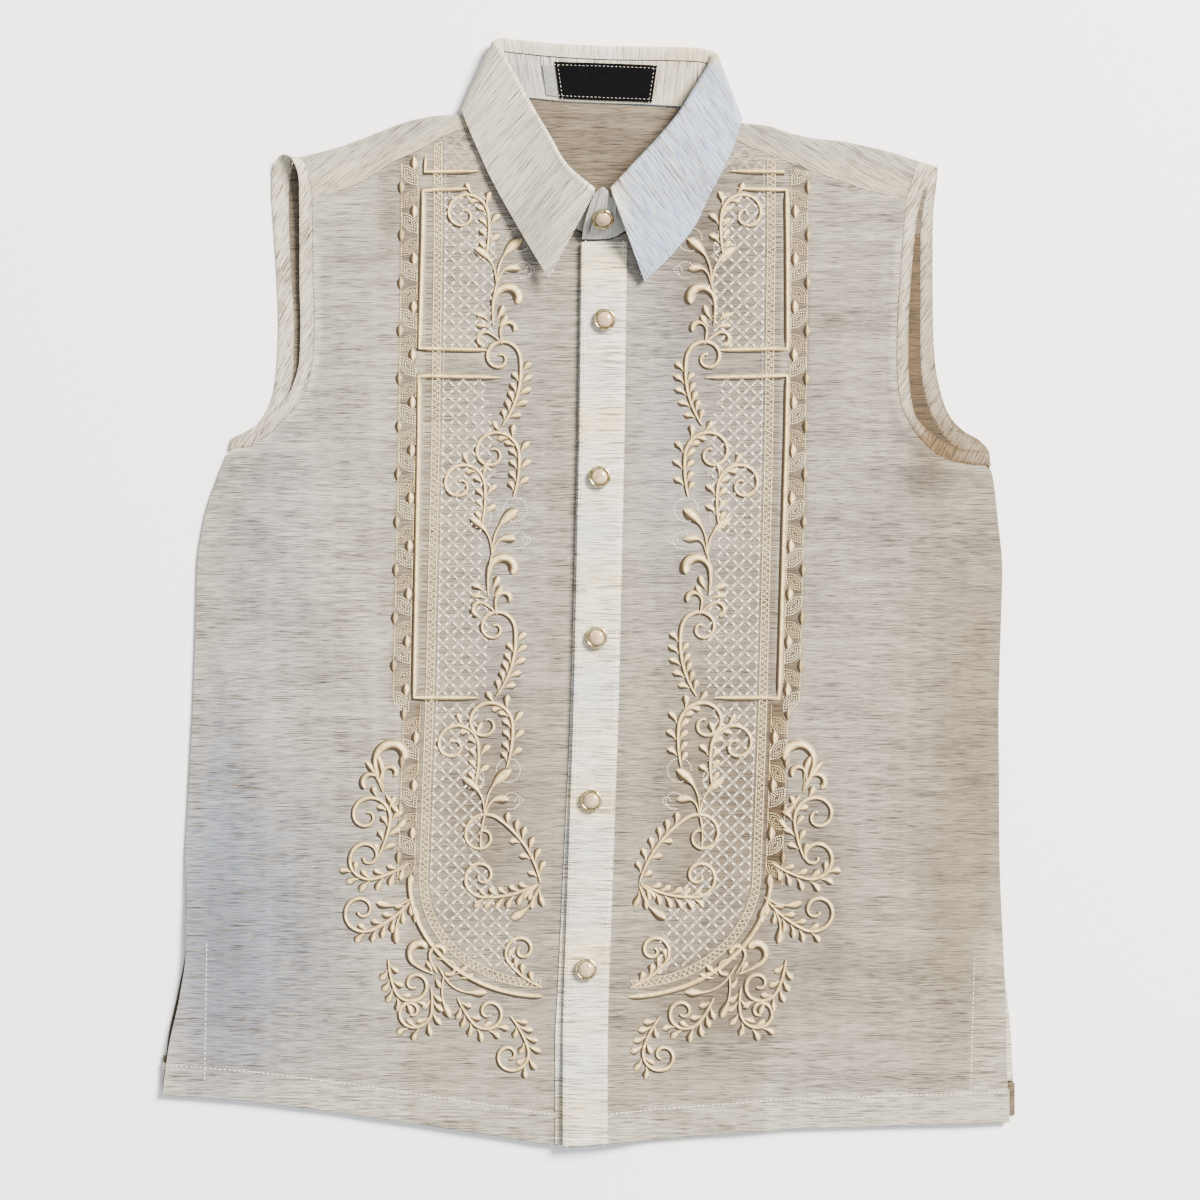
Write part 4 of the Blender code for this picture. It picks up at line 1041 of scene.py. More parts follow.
@dataclass(frozen=True)
class Thread:
    """Rayon embroidery thread: glossy, and golden brown in painted shade on a stroke's lower left
    side, away from the key light.
    """

    name: str
    # crown is the thread's colour with a painted highlight, side the colour of painted shade, edge
    # the colour of a painted shadow
    crown: str
    side: str
    edge: str
    roughness: float = 0.34
    stitch: float = 1.1

    def make(self) -> Material:
        """Builds the material: satin stitches lie across a stroke, with a painted highlight on its
        crown and painted shade towards its sides.

        Returns:
            The material.
        """
        made, tree, shader = started(
            self.name, Roughness=self.roughness, Sheen_Weight=0.2, Specular_IOR_Level=0.55,
            Anisotropic=0.5,
        )
        uv = node(tree, "ShaderNodeUVMap", uv_map="weave").outputs[0]
        along, across = node(tree, "ShaderNodeSeparateXYZ", {0: uv}).outputs[:2]
        out = maths(tree, "ABSOLUTE", across)
        tone = node(tree, "ShaderNodeVertexColor", layer_name="tone")
        lee = node(tree, "ShaderNodeSeparateColor", {0: tone.outputs[0]}).outputs[0]
        # Painted shade towards the stroke's sides, and over all of its side away from the key
        # light.
        colour = blended(tree, between(tree, out, 0.28, 0.66, 0.4), self.crown, self.side)
        colour = blended(tree, between(tree, lee, 0.5, 0.66), colour, self.side)
        # Painted shade that wavers from one lay of stitches to the next, every 2 to 4 mm, as light
        # on satin does.
        lays = between(tree, patchy(tree, 330.0, 1.0), 0.45, 0.66, 0.34)
        colour = blended(tree, lays, colour, self.side)
        # A painted shadow on the flat margins, darkest on the side away from the key light.
        in_shade = between(tree, lee, 0.1, 0.6, 0.95, 0.45)
        margin = maths(tree, "MULTIPLY", between(tree, out, 0.6, 0.68), in_shade)
        colour = blended(tree, margin, colour, self.edge)
        # Stitches are 0.35 mm apart, too fine to show, so they are drawn wider.
        slanted = maths(tree, "MULTIPLY", along, 2 * pi * 1000 / self.stitch)
        slanted = maths(tree, "ADD", slanted, maths(tree, "MULTIPLY", across, 2.2))
        ribs = maths(tree, "MULTIPLY_ADD", maths(tree, "SINE", slanted), 0.5, 0.5)
        colour = blended(tree, maths(tree, "MULTIPLY", ribs, 0.2), colour, self.side)
        wired(tree, shader, colour, ribs)
        return made


@dataclass(frozen=True)
class SewingThread:
    """Spun polyester thread: matt and even."""

    name: str
    colour: str
    dark: str

    def make(self) -> Material:
        """Builds the material, a little darker from stitch to stitch."""
        made, tree, shader = started(self.name, Roughness=0.6, Specular_IOR_Level=0.35)
        share = between(tree, patchy(tree, 600.0, 1.0), 0.4, 0.75, 0.7)
        wired(tree, shader, blended(tree, share, self.colour, self.dark))
        return made


@dataclass(frozen=True)
class DamaskTape:
    """Damask label tape: tightly woven polyester with a dull satin face."""

    name: str
    colour: str
    light: str

    def make(self) -> Material:
        """Builds the material with its fine ribs, drawn 0.9 mm apart so that they show.

        Returns:
            The material.
        """
        made, tree, shader = started(
            self.name, Roughness=0.75, Specular_IOR_Level=0.04, Sheen_Weight=0.02,
        )
        uv = node(tree, "ShaderNodeUVMap", uv_map="weave").outputs[0]
        ribs = streaks(tree, uv, 6.0, 0.9, 1.0)
        share = between(tree, ribs, 0.35, 0.75, 0.6)
        colour = blended(tree, share, self.colour, self.light)
        wired(tree, shader, colour, ribs, 0.4)
        return made


@dataclass(frozen=True)
class GiltMetal:
    """Gilt brass, stamped and polished, rubbed paler in patches."""

    name: str = "gilt_brass"
    colour: str = "#94804A"
    rubbed: str = "#D9CFAA"

    def make(self) -> Material:
        """Builds the material.

        Returns:
            The material.
        """
        made, tree, shader = started(self.name, Metallic=1.0)
        worn = patchy(tree, 420.0, 3.0)
        crowned = between(tree, worn, 0.35, 0.65)
        wired(tree, shader, blended(tree, crowned, self.colour, self.rubbed))
        rough = maths(tree, "ADD", 0.14, between(tree, worn, 0.3, 0.8, 0.18))
        tree.links.new(rough, shader.inputs["Roughness"])
        return made


@dataclass(frozen=True)
class ShellPearl:
    """Mother-of-pearl, a polished shell cabochon with soft pink and cream clouds."""

    name: str = "shell_pearl"
    cream: str = "#BAAA86"
    pink: str = "#A98A70"
    deep: str = "#8F735A"

    def make(self) -> Material:
        """Builds the material.

        Returns:
            The material.
        """
        made, tree, shader = started(
            self.name, Roughness=0.16, IOR=1.53, Coat_Weight=0.6, Coat_Roughness=0.08,
        )
        clouds = patchy(tree, 240.0, 2.0, 1.2)
        colour = blended(tree, between(tree, clouds, 0.35, 0.6), self.cream, self.pink)
        deeper = between(tree, clouds, 0.6, 0.8, 0.6)
        wired(tree, shader, blended(tree, deeper, colour, self.deep))
        return made


@dataclass(frozen=True)
class Backdrop:
    """Matt white paper under the shirt."""

    name: str = "white_paper"
    colour: str = "#F7F7F6"

    def make(self) -> Material:
        """Builds the material."""
        made, _, shader = started(self.name, Roughness=0.9, Specular_IOR_Level=0.1)
        shader.inputs["Base Color"].default_value = linear(self.colour)
        return made


Finish = SlubCloth | Thread | SewingThread | DamaskTape | GiltMetal | ShellPearl | Backdrop

BODY_CLOTH = SlubCloth("jusi_body")
COLLAR_FINISH = SlubCloth(
    "jusi_collar", ground="#A8A396", slub="#42361F", warm="#BDAB86", cool="#7E91B0",
    doubled="#D8D4C6", slub_length=55.0, slub_width=0.5,
)
DOUBLED_CLOTH = SlubCloth(
    "jusi_doubled", ground="#C6C0AC", slub="#5A4A2E", warm="#D9C697", cool="#98A5BF",
    doubled="#F2EFE4", slub_length=50.0, slub_width=0.7,
)
# crown, side and edge: the thread's colour with a painted highlight, painted shade and a painted
# shadow
SATIN = Thread("satin_thread_champagne", crown="#E8CC90", side="#4A3819", edge="#2A1F13")
PALE_THREAD = SewingThread("cream_embroidery_thread", "#F8F0DC", "#C2B595")
PETAL_THREAD = SewingThread("ecru_embroidery_thread", "#E8DCBC", "#9A8860")
GAUZE_THREAD = SewingThread("grey_embroidery_thread", "#CBC2AF", "#8C8371")
BAND_THREAD = SewingThread("bone_sewing_thread", "#C9C0AC", "#A89E88")
CHAIN_THREAD = SewingThread("champagne_embroidery_thread", "#DCC99C", "#8D7A50")
TICK_THREAD = SewingThread("brown_embroidery_thread", "#7A6444", "#5A4830")
BEAD_THREAD = SewingThread("tan_embroidery_thread", "#D6C18E", "#7C683A")
# bronze thread, with the same painted highlight, shade and shadow
DARK_SATIN = Thread("satin_thread_bronze", crown="#A68D5A", side="#3D2E15", edge="#2A1F13")
BIAS_CLOTH = SlubCloth(
    "jusi_bias", ground="#A79F8B", slub="#4C3F2B", doubled="#DDD7C6", slub_share=1.0,
    slub_length=22.0, slub_width=0.7,
)
SEAM_THREAD = SewingThread("white_sewing_thread", "#FBF6E6", "#E0D6BC")
LABEL_TAPE = DamaskTape("damask_tape_black", "#040405", "#0B0B0C")
TAB_TAPE = DamaskTape("damask_tape_grey", "#7E7E7B", "#9A9A96")

MADE: dict[str, Material] = {}


def material(finish: Finish) -> Material:
    """The material of one finish, made once."""
    if finish.name not in MADE:
        MADE[finish.name] = finish.make()
    return MADE[finish.name]


# -------- pieces


def linked(name: str, data: bpy.types.ID) -> Object:
    """A new object that shows some data, in the scene.

    Args:
        name: The object's name.
        data: Its mesh, light or camera.

    Returns:
        The object.
    """
    made = bpy.data.objects.new(name, data)
    bpy.context.scene.collection.objects.link(made)
    return made


def add_mesh(name: str, shape: Shape, finish: Finish) -> Object:
    """Makes an object of one finish.

    Args:
        name: The object's name.
        shape: Its points and faces.
        finish: The finish that it takes.

    Returns:
        The object, at the origin.
    """
    mesh = bpy.data.meshes.new(name)
    mesh.from_pydata((shape.points * MM).tolist(), [], shape.faces)
    if shape.uv is not None:
        layer = mesh.uv_layers.new(name="weave")
        corners = np.empty(len(mesh.loops), np.int32)
        mesh.loops.foreach_get("vertex_index", corners)
        layer.data.foreach_set("uv", (shape.uv[corners] * MM).ravel())
    if shape.tone is not None:
        layer = mesh.color_attributes.new("tone", "FLOAT_COLOR", "POINT")
        layer.data.foreach_set("color", shape.tone.ravel())
    mesh.materials.append(material(finish))
    mesh.shade_smooth()
    mesh.set_sharp_from_angle(angle=radians(50))
    LOG.info("%s: %d points, %d faces", name, len(mesh.vertices), len(mesh.polygons))
    return linked(name, mesh)


def seated(made: Object, slot: str, *nodes: str) -> Object:
    """Rides a piece on the shirt, and hides the CAD nodes that it stands for.

    Args:
        made: The piece.
        slot: Not used.
        nodes: The CAD nodes.

    Returns:
        The piece.
    """
    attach(made, BODY)
    if nodes:
        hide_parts(*nodes)
    return made


@dataclass
class Panel:
    """One cut piece of cloth in its laid shape."""

    name: str
    grid: Array
    finish: SlubCloth | DamaskTape
    slot: str
    rests_on: tuple[str, ...]
    uv: Array | None = None
    tone: Array | None = None
    thickness: float = CLOTH

    def laid_area(self) -> float:
        """Area of the laid middle surface, in square metres."""
        _, quads = cells_of(~np.isnan(self.grid[..., 0]))
        points = self.grid[~np.isnan(self.grid[..., 0])] * MM
        a, b, c, d = (points[quads[:, k]] for k in range(4))
        return float(np.linalg.norm(np.cross(c - a, d - b), axis=1).sum() / 2)

    def build(self, trims: Sequence[Object] = ()) -> Object:
        """Args:
            trims: Not used.

        Returns:
            The piece.
        """
        uv = self.grid[..., :2] if self.uv is None else self.uv
        tone = tones_at(self.grid) if self.tone is None else self.tone
        shape = wall(self.grid, self.thickness, uv, tone)
        made = seated(add_mesh(f"{self.name}_cloth", shape, self.finish), self.slot, self.name)
        units = (MM, MM, SQUARE_CM)
        width, length, area = (size * one for size, one in zip(CUTS[self.name], units))
        LOG.info("%s: laid %.4f m2, cut %.4f m2", self.name, self.laid_area(), area)
        return made


@dataclass
class Body:
    """Back, fronts, plackets and vent facings."""

    cell: float = 3.2
    back_cell: float = 5.0
    placket_lift: float = 1.0
    placket_edge_drop: float = 0.35
    placket_wall: float = 0.7
    # Painted shade over the back panel, which shows only inside the shirt; it also stands for the
    # brown seen through the sheer cloth.
    inside_shade: float = 0.74

    def __post_init__(self) -> None:
        """Lays the fronts and the strips that their plackets lie on."""
        self.fronts: dict[Side, Array] = {}
        self.strips: dict[Side, Array] = {}
        for side in Side:
            self.fronts[side], self.strips[side] = self.front_grid(side)

    @staticmethod
    def hem_fold(low: Array, height: Heights, side: int) -> Array:
        """Rows of a turned-up hem, from its stitched edge down and round the fold.

        Args:
            low: (x, y) of the hem's bottom at each column.
            height: Where the panel lies.
            side: -1 where the turn-up lies under the panel and 1 where it lies on it.

        Returns:
            The rows, to go before the panel's own.
        """
        radius = LAYER / 2
        x, y = low[:, 0], low[:, 1]
        rows = []
        for fraction in TURN_UP_FRACTIONS:
            up = y + HEM_TURN + fraction * (HEM_DEPTH - HEM_TURN)
            rows.append(joined(x, up, height(x, up) + side * LAYER))
        for step in range(1, FOLD_STEPS):
            angle = pi * step / FOLD_STEPS
            middle = height(x, y + HEM_TURN) + side * radius
            down = y + HEM_TURN - radius * sin(angle)
            rows.append(joined(x, down, middle + side * radius * cos(angle)))
        return np.array(rows)

    def front_plan(self, side: Side) -> tuple[Array, int]:
        """Rows of (x, y) over a front, and how many of them reach the centre front.

        Args:
            side: Which front.

        Returns:
            The rows, and the number.
        """

        def across(y: float, fraction: float | None = None) -> list[tuple[float, float]]:
            """A level row, or one this share of the way from the hem up to the level rows.

            Args:
                y: Height of the level row.
                fraction: The share, or None for a level row.

            Returns:
                The row.
            """
            start = float(placket_x(y) if side is Side.LEFT else under_placket_x(y))
            strip = [start, start + PLACKET_WIDTH / 2, start + PLACKET_WIDTH]
            outer = float(edge_x(side, False, y))
            if side is Side.LEFT:
                xs = strip[:2] + list(np.linspace(strip[2], outer, BODY_COLUMNS + 1))
            else:
                xs = list(np.linspace(outer, strip[0], BODY_COLUMNS + 1)) + strip[1:]
            if fraction is None:
                return [(x, y) for x in xs]
            lows = [float(hem_y(x)) + HEM_TURN for x in xs]
            return [(x, low + (UPPER_ROWS[0] - low) * fraction) for x, low in zip(xs, lows)]

        corner = float(hem_y(edge_x(side, False, HEM_CORNER)))
        rows = []
        for k in range(BODY_ROWS):
            fraction = k / BODY_ROWS
            rows.append(across(corner + (UPPER_ROWS[0] - corner) * fraction, fraction))
        rows += [across(y) for y in UPPER_ROWS]
        reach = len(rows)
        seam_end = YOKE_SEAMS[side][0, 1] - YOKE_SEAM_EASE
        upper = [(float(edge_x(side, False, y)), y) for y in NECK_ROWS + [seam_end]]
        upper += [(x, y - YOKE_SEAM_EASE) for x, y in YOKE_SEAMS[side][1:-1]]
        for outer, y in upper:
            neck = neck_x(side, y)
            ends = (neck, outer) if side is Side.LEFT else (outer, neck)
            rows.append([(x, y) for x in np.linspace(*ends, BODY_COLUMNS + 3)])
        return np.array(rows), reach

    def front_grid(self, side: Side) -> tuple[Array, Array]:
        """The front with its hem, and the points that its placket lies on.

        Args:
            side: Which front.

        Returns:
            The front's grid, and the strip's.
        """
        coarse, reach = self.front_plan(side)
        plan, rows, columns = finer(coarse, self.cell)
        height = LIE.of(side)
        panel = lifted(plan, height)
        fold = self.hem_fold(plan[0] - (0, HEM_TURN), height, -1)
        last = rows[reach - 1] + 1
        across = slice(0, columns[2] + 1) if side is Side.LEFT else slice(columns[-3], None)
        return np.concatenate([fold, panel]), panel[:last, across]

    def front_tone(self, grid: Array, side: Side) -> Array:
        """Tones of a front: paler over the hem, the vent's facing and the armhole's seam.

        Args:
            grid: Points of the middle surface, row by row.
            side: Which front.

        Returns:
            Warm, cool, shaded and doubled shares.
        """
        x, y = grid[..., 0], grid[..., 1]
        doubled = ramp_in(hem_y(x) + HEM_DEPTH - y)
        inner_x, inner_y, low_x, outer_y = VENTS[side]
        line = np.interp(y, (HEM_CORNER, inner_y), (low_x, inner_x))
        beside = ramp_in((x - line) * side.value) * ramp_in(outer_y - y, 3.0)
        tone = tones_at(grid, np.maximum(doubled, 0.85 * beside))
        out = abs(x - centre_front(y))
        aside = abs(out - band_at(y))
        # The leaf band's ground and the embroidered field are darker, drawn with the painted-shade
        # share: partly the cloth's own colour under dense, pulled stitching, partly painted shade
        # among the raised stitches.
        tone[..., 2] += 0.6 * ramp_in(BAND_HALF + 1.0 - aside, 2.0) * ramp_in(y + 176.0, 6.0)
        tone[..., 2] += 0.22 * ramp_in(BAND_AT - 10.0 - out, 4.0)
        seam = spline(ARMHOLES[side]["front"].grid("seam_x", "seam_y"), 5)
        reach = np.hypot(x[..., None] - seam[:, 0], y[..., None] - seam[:, 1]).min(axis=-1)
        tone[..., 3] = np.maximum(tone[..., 3], ramp_in(4.2 - reach))
        return np.nan_to_num(np.clip(tone, 0.0, 1.0))

    def back_grid(self) -> Array:
        """The back, from its turned-up hem to the yoke seam.

        Returns:
            Points of the middle surface, row by row.
        """
        plan = []
        for k in range(BODY_ROWS):
            fraction = k / BODY_ROWS
            y = HEM_CORNER + (UPPER_ROWS[0] - HEM_CORNER) * fraction
            ends = (edge_x(side, True, y) for side in Side)
            xs = np.linspace(*ends, BACK_COLUMNS + 1)
            lows = hem_y(xs, True) + HEM_TURN
            plan.append(joined(xs, lows + (UPPER_ROWS[0] - lows) * fraction))
        for y in UPPER_ROWS[:-1] + [YOKE_BACK_SEAM - SEAM]:
            ends = (edge_x(side, True, y) for side in Side)
            xs = np.linspace(*ends, BACK_COLUMNS + 1)
            plan.append(joined(xs, np.full_like(xs, y)))
        plan, *_ = finer(np.array(plan), self.back_cell)
        fold = self.hem_fold(plan[0] - (0, HEM_TURN), LIE.back, 1)
        return np.concatenate([fold, lifted(plan, LIE.back)])

    def facing_grid(self, side: Side, back: bool) -> Array:
        """A vent's facing, inside its panel, from over the hem's turn-up to the vent's top.

        Args:
            side: The wearer's side.
            back: Whether it lines the back's half of the vent.

        Returns:
            Points of the middle surface, row by row.
        """
        height, layer = (LIE.back, LAYER) if back else (LIE.of(side), -LAYER)
        inner_x, inner_y, low_x, outer_y = VENTS[side]
        low = float(hem_y(edge_x(side, back, HEM_CORNER), back)) + HEM_DEPTH + VENT_HEM_GAP
        rows = []
        for fraction in np.linspace(0, 1, VENT_ROWS):
            row = []
            for across in (0.0, 0.5, 1.0):
                y = low + (outer_y + (inner_y - outer_y) * across - low) * fraction
                outer = float(edge_x(side, back, y)) - side.value * VENT_INSET
                x = outer + (low_x + (inner_x - low_x) * fraction - outer) * across
                row.append((x, y))
            rows.append(row if side is Side.RIGHT else row[::-1])
        return lifted(finer(np.array(rows), self.cell)[0], height, layer)

    def placket_grid(self, side: Side) -> Array:
        """A placket on its front's strip, its two long edges pressed down to the front.

        Args:
            side: Which front's.

        Returns:
            Points of the middle surface, row by row.
        """
        strip = self.strips[side]
        across = np.linspace(-1, 1, strip.shape[1])[None, :, None]
        lift = self.placket_lift - self.placket_edge_drop * abs(across) ** 6
        return moved_out(strip, lift)

    def build(self, trims: dict[str, list[Object]]) -> None:
        """Makes the pieces.

        Args:
            trims: Stitching and embroidery, by the panel that they lie on.
        """
        grid = self.back_grid()
        # Painted shade inside the shirt, which also stands for the brown seen through the sheer
        # cloth.
        shade = tones_at(grid, shade=self.inside_shade)
        Panel("back_panel", grid, BODY_CLOTH, "body_cloth", ("floor",), tone=shade).build()
        for side in Side:
            name = f"{side.word}_front"
            grid = self.fronts[side]
            Panel(name, grid, BODY_CLOTH, "body_cloth", ("back_panel_cloth",),
                  tone=self.front_tone(grid, side)).build(trims[name])
            placket = "placket" if side is Side.LEFT else "under_placket"
            grid = self.placket_grid(side)
            wave = 0.5 * np.sin(grid[..., 1] / 7.3) + 0.5 * np.sin(grid[..., 1] / 17.0 + 2.0)
            zero = np.zeros_like(wave)
            warm, cool = np.clip(wave, 0, 1) * 0.85, np.clip(-wave, 0, 1) * 0.4
            tone = joined(warm, cool, zero, zero)
            Panel(placket, grid, DOUBLED_CLOTH, "doubled_cloth", (f"{name}_cloth",), tone=tone,
                  thickness=self.placket_wall).build(trims[placket])
            for back in (False, True):
                part = "back" if back else "front"
                on = "back_panel_cloth" if back else f"{name}_cloth"
                facing = f"{side.word}_{part}_vent_facing"
                Panel(facing, self.facing_grid(side, back), DOUBLED_CLOTH, "doubled_cloth",
                      (on,)).build()


@dataclass
class Yoke:
    """The yoke, cut in one from the back seam over both shoulders to the front seams."""

    cell: float = 3.5
    shoulder_turns: dict[Side, float] = field(
        default_factory=lambda: {Side.RIGHT: 36.0, Side.LEFT: -30.0}
    )
    allowance: float = 8.5  # the seam's turning shows through the flap

    def __post_init__(self) -> None:
        """Lays the yoke."""
        self.grid, self.rows = self.laid()

    def shoulder_column(self, row: Array) -> list[Triple]:
        """Points from the back seam up, round the shoulder fold and down to the front seam.

        Args:
            row: The fold's x and y, then the front seam's.

        Returns:
            Points of the column.
        """
        start, fold, seam = np.array([row[0], YOKE_BACK_SEAM]), row[:2], row[2:]
        low, high = float(LIE.yoke_back(*fold)), float(LIE.front(*fold))
        radius = (high - low) / 2
        inner = fold - (0, radius)
        points = []
        for fraction in YOKE_BACK_STEPS:
            x, y = start + (inner - start) * fraction
            points.append((x, y, float(LIE.yoke_back(x, y))))
        for step in (1, 2, 3):
            angle = pi * step / 4
            lift = low + radius - radius * cos(angle)
            points.append((fold[0], inner[1] + radius * sin(angle), lift))
        for fraction in (0.0, 0.5, 1.0):
            x, y = inner + (seam - inner) * fraction
            points.append((x, y, float(LIE.front(x, y))))
        return points

    def laid(self) -> tuple[Array, Array]:
        """The yoke's grid, and where its coarse rows are in it.

        Returns:
            The grid, and the numbers of those rows.
        """
        shoulders = []
        for side in Side:
            ends = ARMHOLES[side]["shoulder"]
            seam = ends.grid("seam_x", "seam_y", "seam_z")
            free = ends.grid("open_x", "open_y", "open_z")
            end = seam + ARMHOLE_EASE * unit(seam - free)
            rows = SHOULDERS[side].grid("fold_x", "fold_y", "seam_x", "seam_y")
            shoulders.append([end.tolist()] + [self.shoulder_column(row) for row in rows])
        neck = []
        for x in YOKE_NECK_COLUMNS:
            top = neck_back_y(x) - NECK_EASE
            ys = [YOKE_BACK_SEAM + (top - YOKE_BACK_SEAM) * part for part in YOKE_BACK_STEPS]
            column = [(x, y, float(LIE.yoke_back(x, y))) for y in ys]
            neck.append(column + [(np.nan,) * 3] * (len(shoulders[0][0]) - len(column)))
        right, left = shoulders
        coarse = np.array(right + neck + left[::-1]).transpose(1, 0, 2)
        grid, rows, _ = finer(coarse, self.cell)
        return grid, rows

    def weave(self) -> Array:
        """Where each point is on the cloth: past the fold, the weft runs down the flap.

        Returns:
            Places along and across the weft, in millimetres.
        """
        uv = self.grid[..., :2].copy()
        fold = self.rows[len(YOKE_BACK_STEPS) + 1]
        front = np.arange(len(uv))[:, None] > fold
        for side in Side:
            flap = front & (self.grid[..., 0] * side.value > 0)
            turn = radians(self.shoulder_turns[side])
            x, y = self.grid[..., 0][flap], self.grid[..., 1][flap]
            c, s = cos(turn), sin(turn)
            uv[flap] = joined(c * x + s * y, c * y - s * x)
        return uv

    def tone(self) -> Array:
        """Tones of the yoke: painted shade inside the neck, brown, where it also stands for the
        brown seen through the sheer cloth; pale along the front seam's turning.

        Returns:
            Warm, cool, shaded and doubled shares.
        """
        grid = self.grid
        last = self.rows[-1]
        rows = np.arange(len(grid))[:, None]
        seam = np.nan_to_num(np.linalg.norm(grid - grid[last][None], axis=-1), nan=99.0)
        outer = smooth((abs(grid[..., 0] - 11.0) - 95.0) / 70.0)
        doubled = ramp_in(self.allowance * (0.6 + 0.9 * outer) - seam, 2.0)
        front = rows > self.rows[len(YOKE_BACK_STEPS)]
        tone = tones_at(grid, np.where(front, 0.1 + 0.75 * doubled, 0.0))
        tone[..., 0] += np.where(front, 0.5 * doubled, 0.0)
        # Painted shade over the yoke's back, seen inside the neck.
        tone[..., 2] = np.where(front, tone[..., 2], 0.76)
        return tone

    def build(self, trims: list[Object]) -> None:
        """Makes the piece."""
        Panel("yoke", self.grid, BODY_CLOTH, "body_cloth", ("floor", "back_panel_cloth"),
              uv=self.weave(), tone=self.tone()).build(trims)


@dataclass
class ArmholeBands:
    """Bias bands round the armholes."""

    cell: float = 2.2
    wall: float = 0.8
    askew: float = 60.0  # how far its weft leans, in degrees

    def __post_init__(self) -> None:
        """Lays both bands."""
        self.grids = {side: self.laid(side) for side in Side}

    def laid(self, side: Side) -> Array:
        """A band, from its seam to its free edge, all round its armhole.

        Args:
            side: The wearer's side.

        Returns:
            Points of the middle surface, row by row.
        """
        tables = ARMHOLES[side]
        rows = []
        for stretch in ("back", "shoulder", "front"):
            plan = tables[stretch].grid("seam_x", "seam_y", "open_x", "open_y")
            if stretch == "shoulder":
                seam_z, open_z = tables[stretch].seam_z, tables[stretch].open_z
            elif stretch == "back":
                seam_z = open_z = np.full(len(plan), BACK_MIDDLE)
            else:
                seam_z = LIE.front(plan[:, 0], plan[:, 1])
                open_z = np.maximum(seam_z - 0.4, BACK_MIDDLE + LAYER)
            rows.append(np.column_stack([plan[:, :2], seam_z, plan[:, 2:], open_z]))
        rows = np.vstack(rows)
        seam, free = rows[:, :3], rows[:, 3:]
        return finer(np.stack([seam, (seam + free) / 2, free], axis=1), self.cell)[0]

    def weave(self, grid: Array) -> Array:
        """The bias: the weft runs askew, up to the right, on every part of a band."""
        c, s = cos(radians(self.askew)), sin(radians(self.askew))
        return grid[..., :2] @ np.array([(c, -s), (s, c)])

    def build(self, trims: dict[Side, list[Object]]) -> None:
        """Makes both bands.

        Args:
            trims: The stitching of each.
        """
        for side, grid in self.grids.items():
            tone = tones_at(grid, 0.25)
            tone[..., 0] += 0.25
            # Painted shade towards the underarm and along both long edges, where the band rolls
            # over.
            sides = abs(np.linspace(-1, 1, grid.shape[1])) ** 4
            tone[..., 2] += 0.35 * smooth((120.0 - grid[..., 1]) / 50.0) + 0.25 * sides
            Panel(f"{side.word}_armhole_band", grid, BIAS_CLOTH, "doubled_cloth",
                  ("floor", f"{side.word}_front_cloth"), uv=self.weave(grid), tone=tone,
                  thickness=self.wall).build(trims[side])


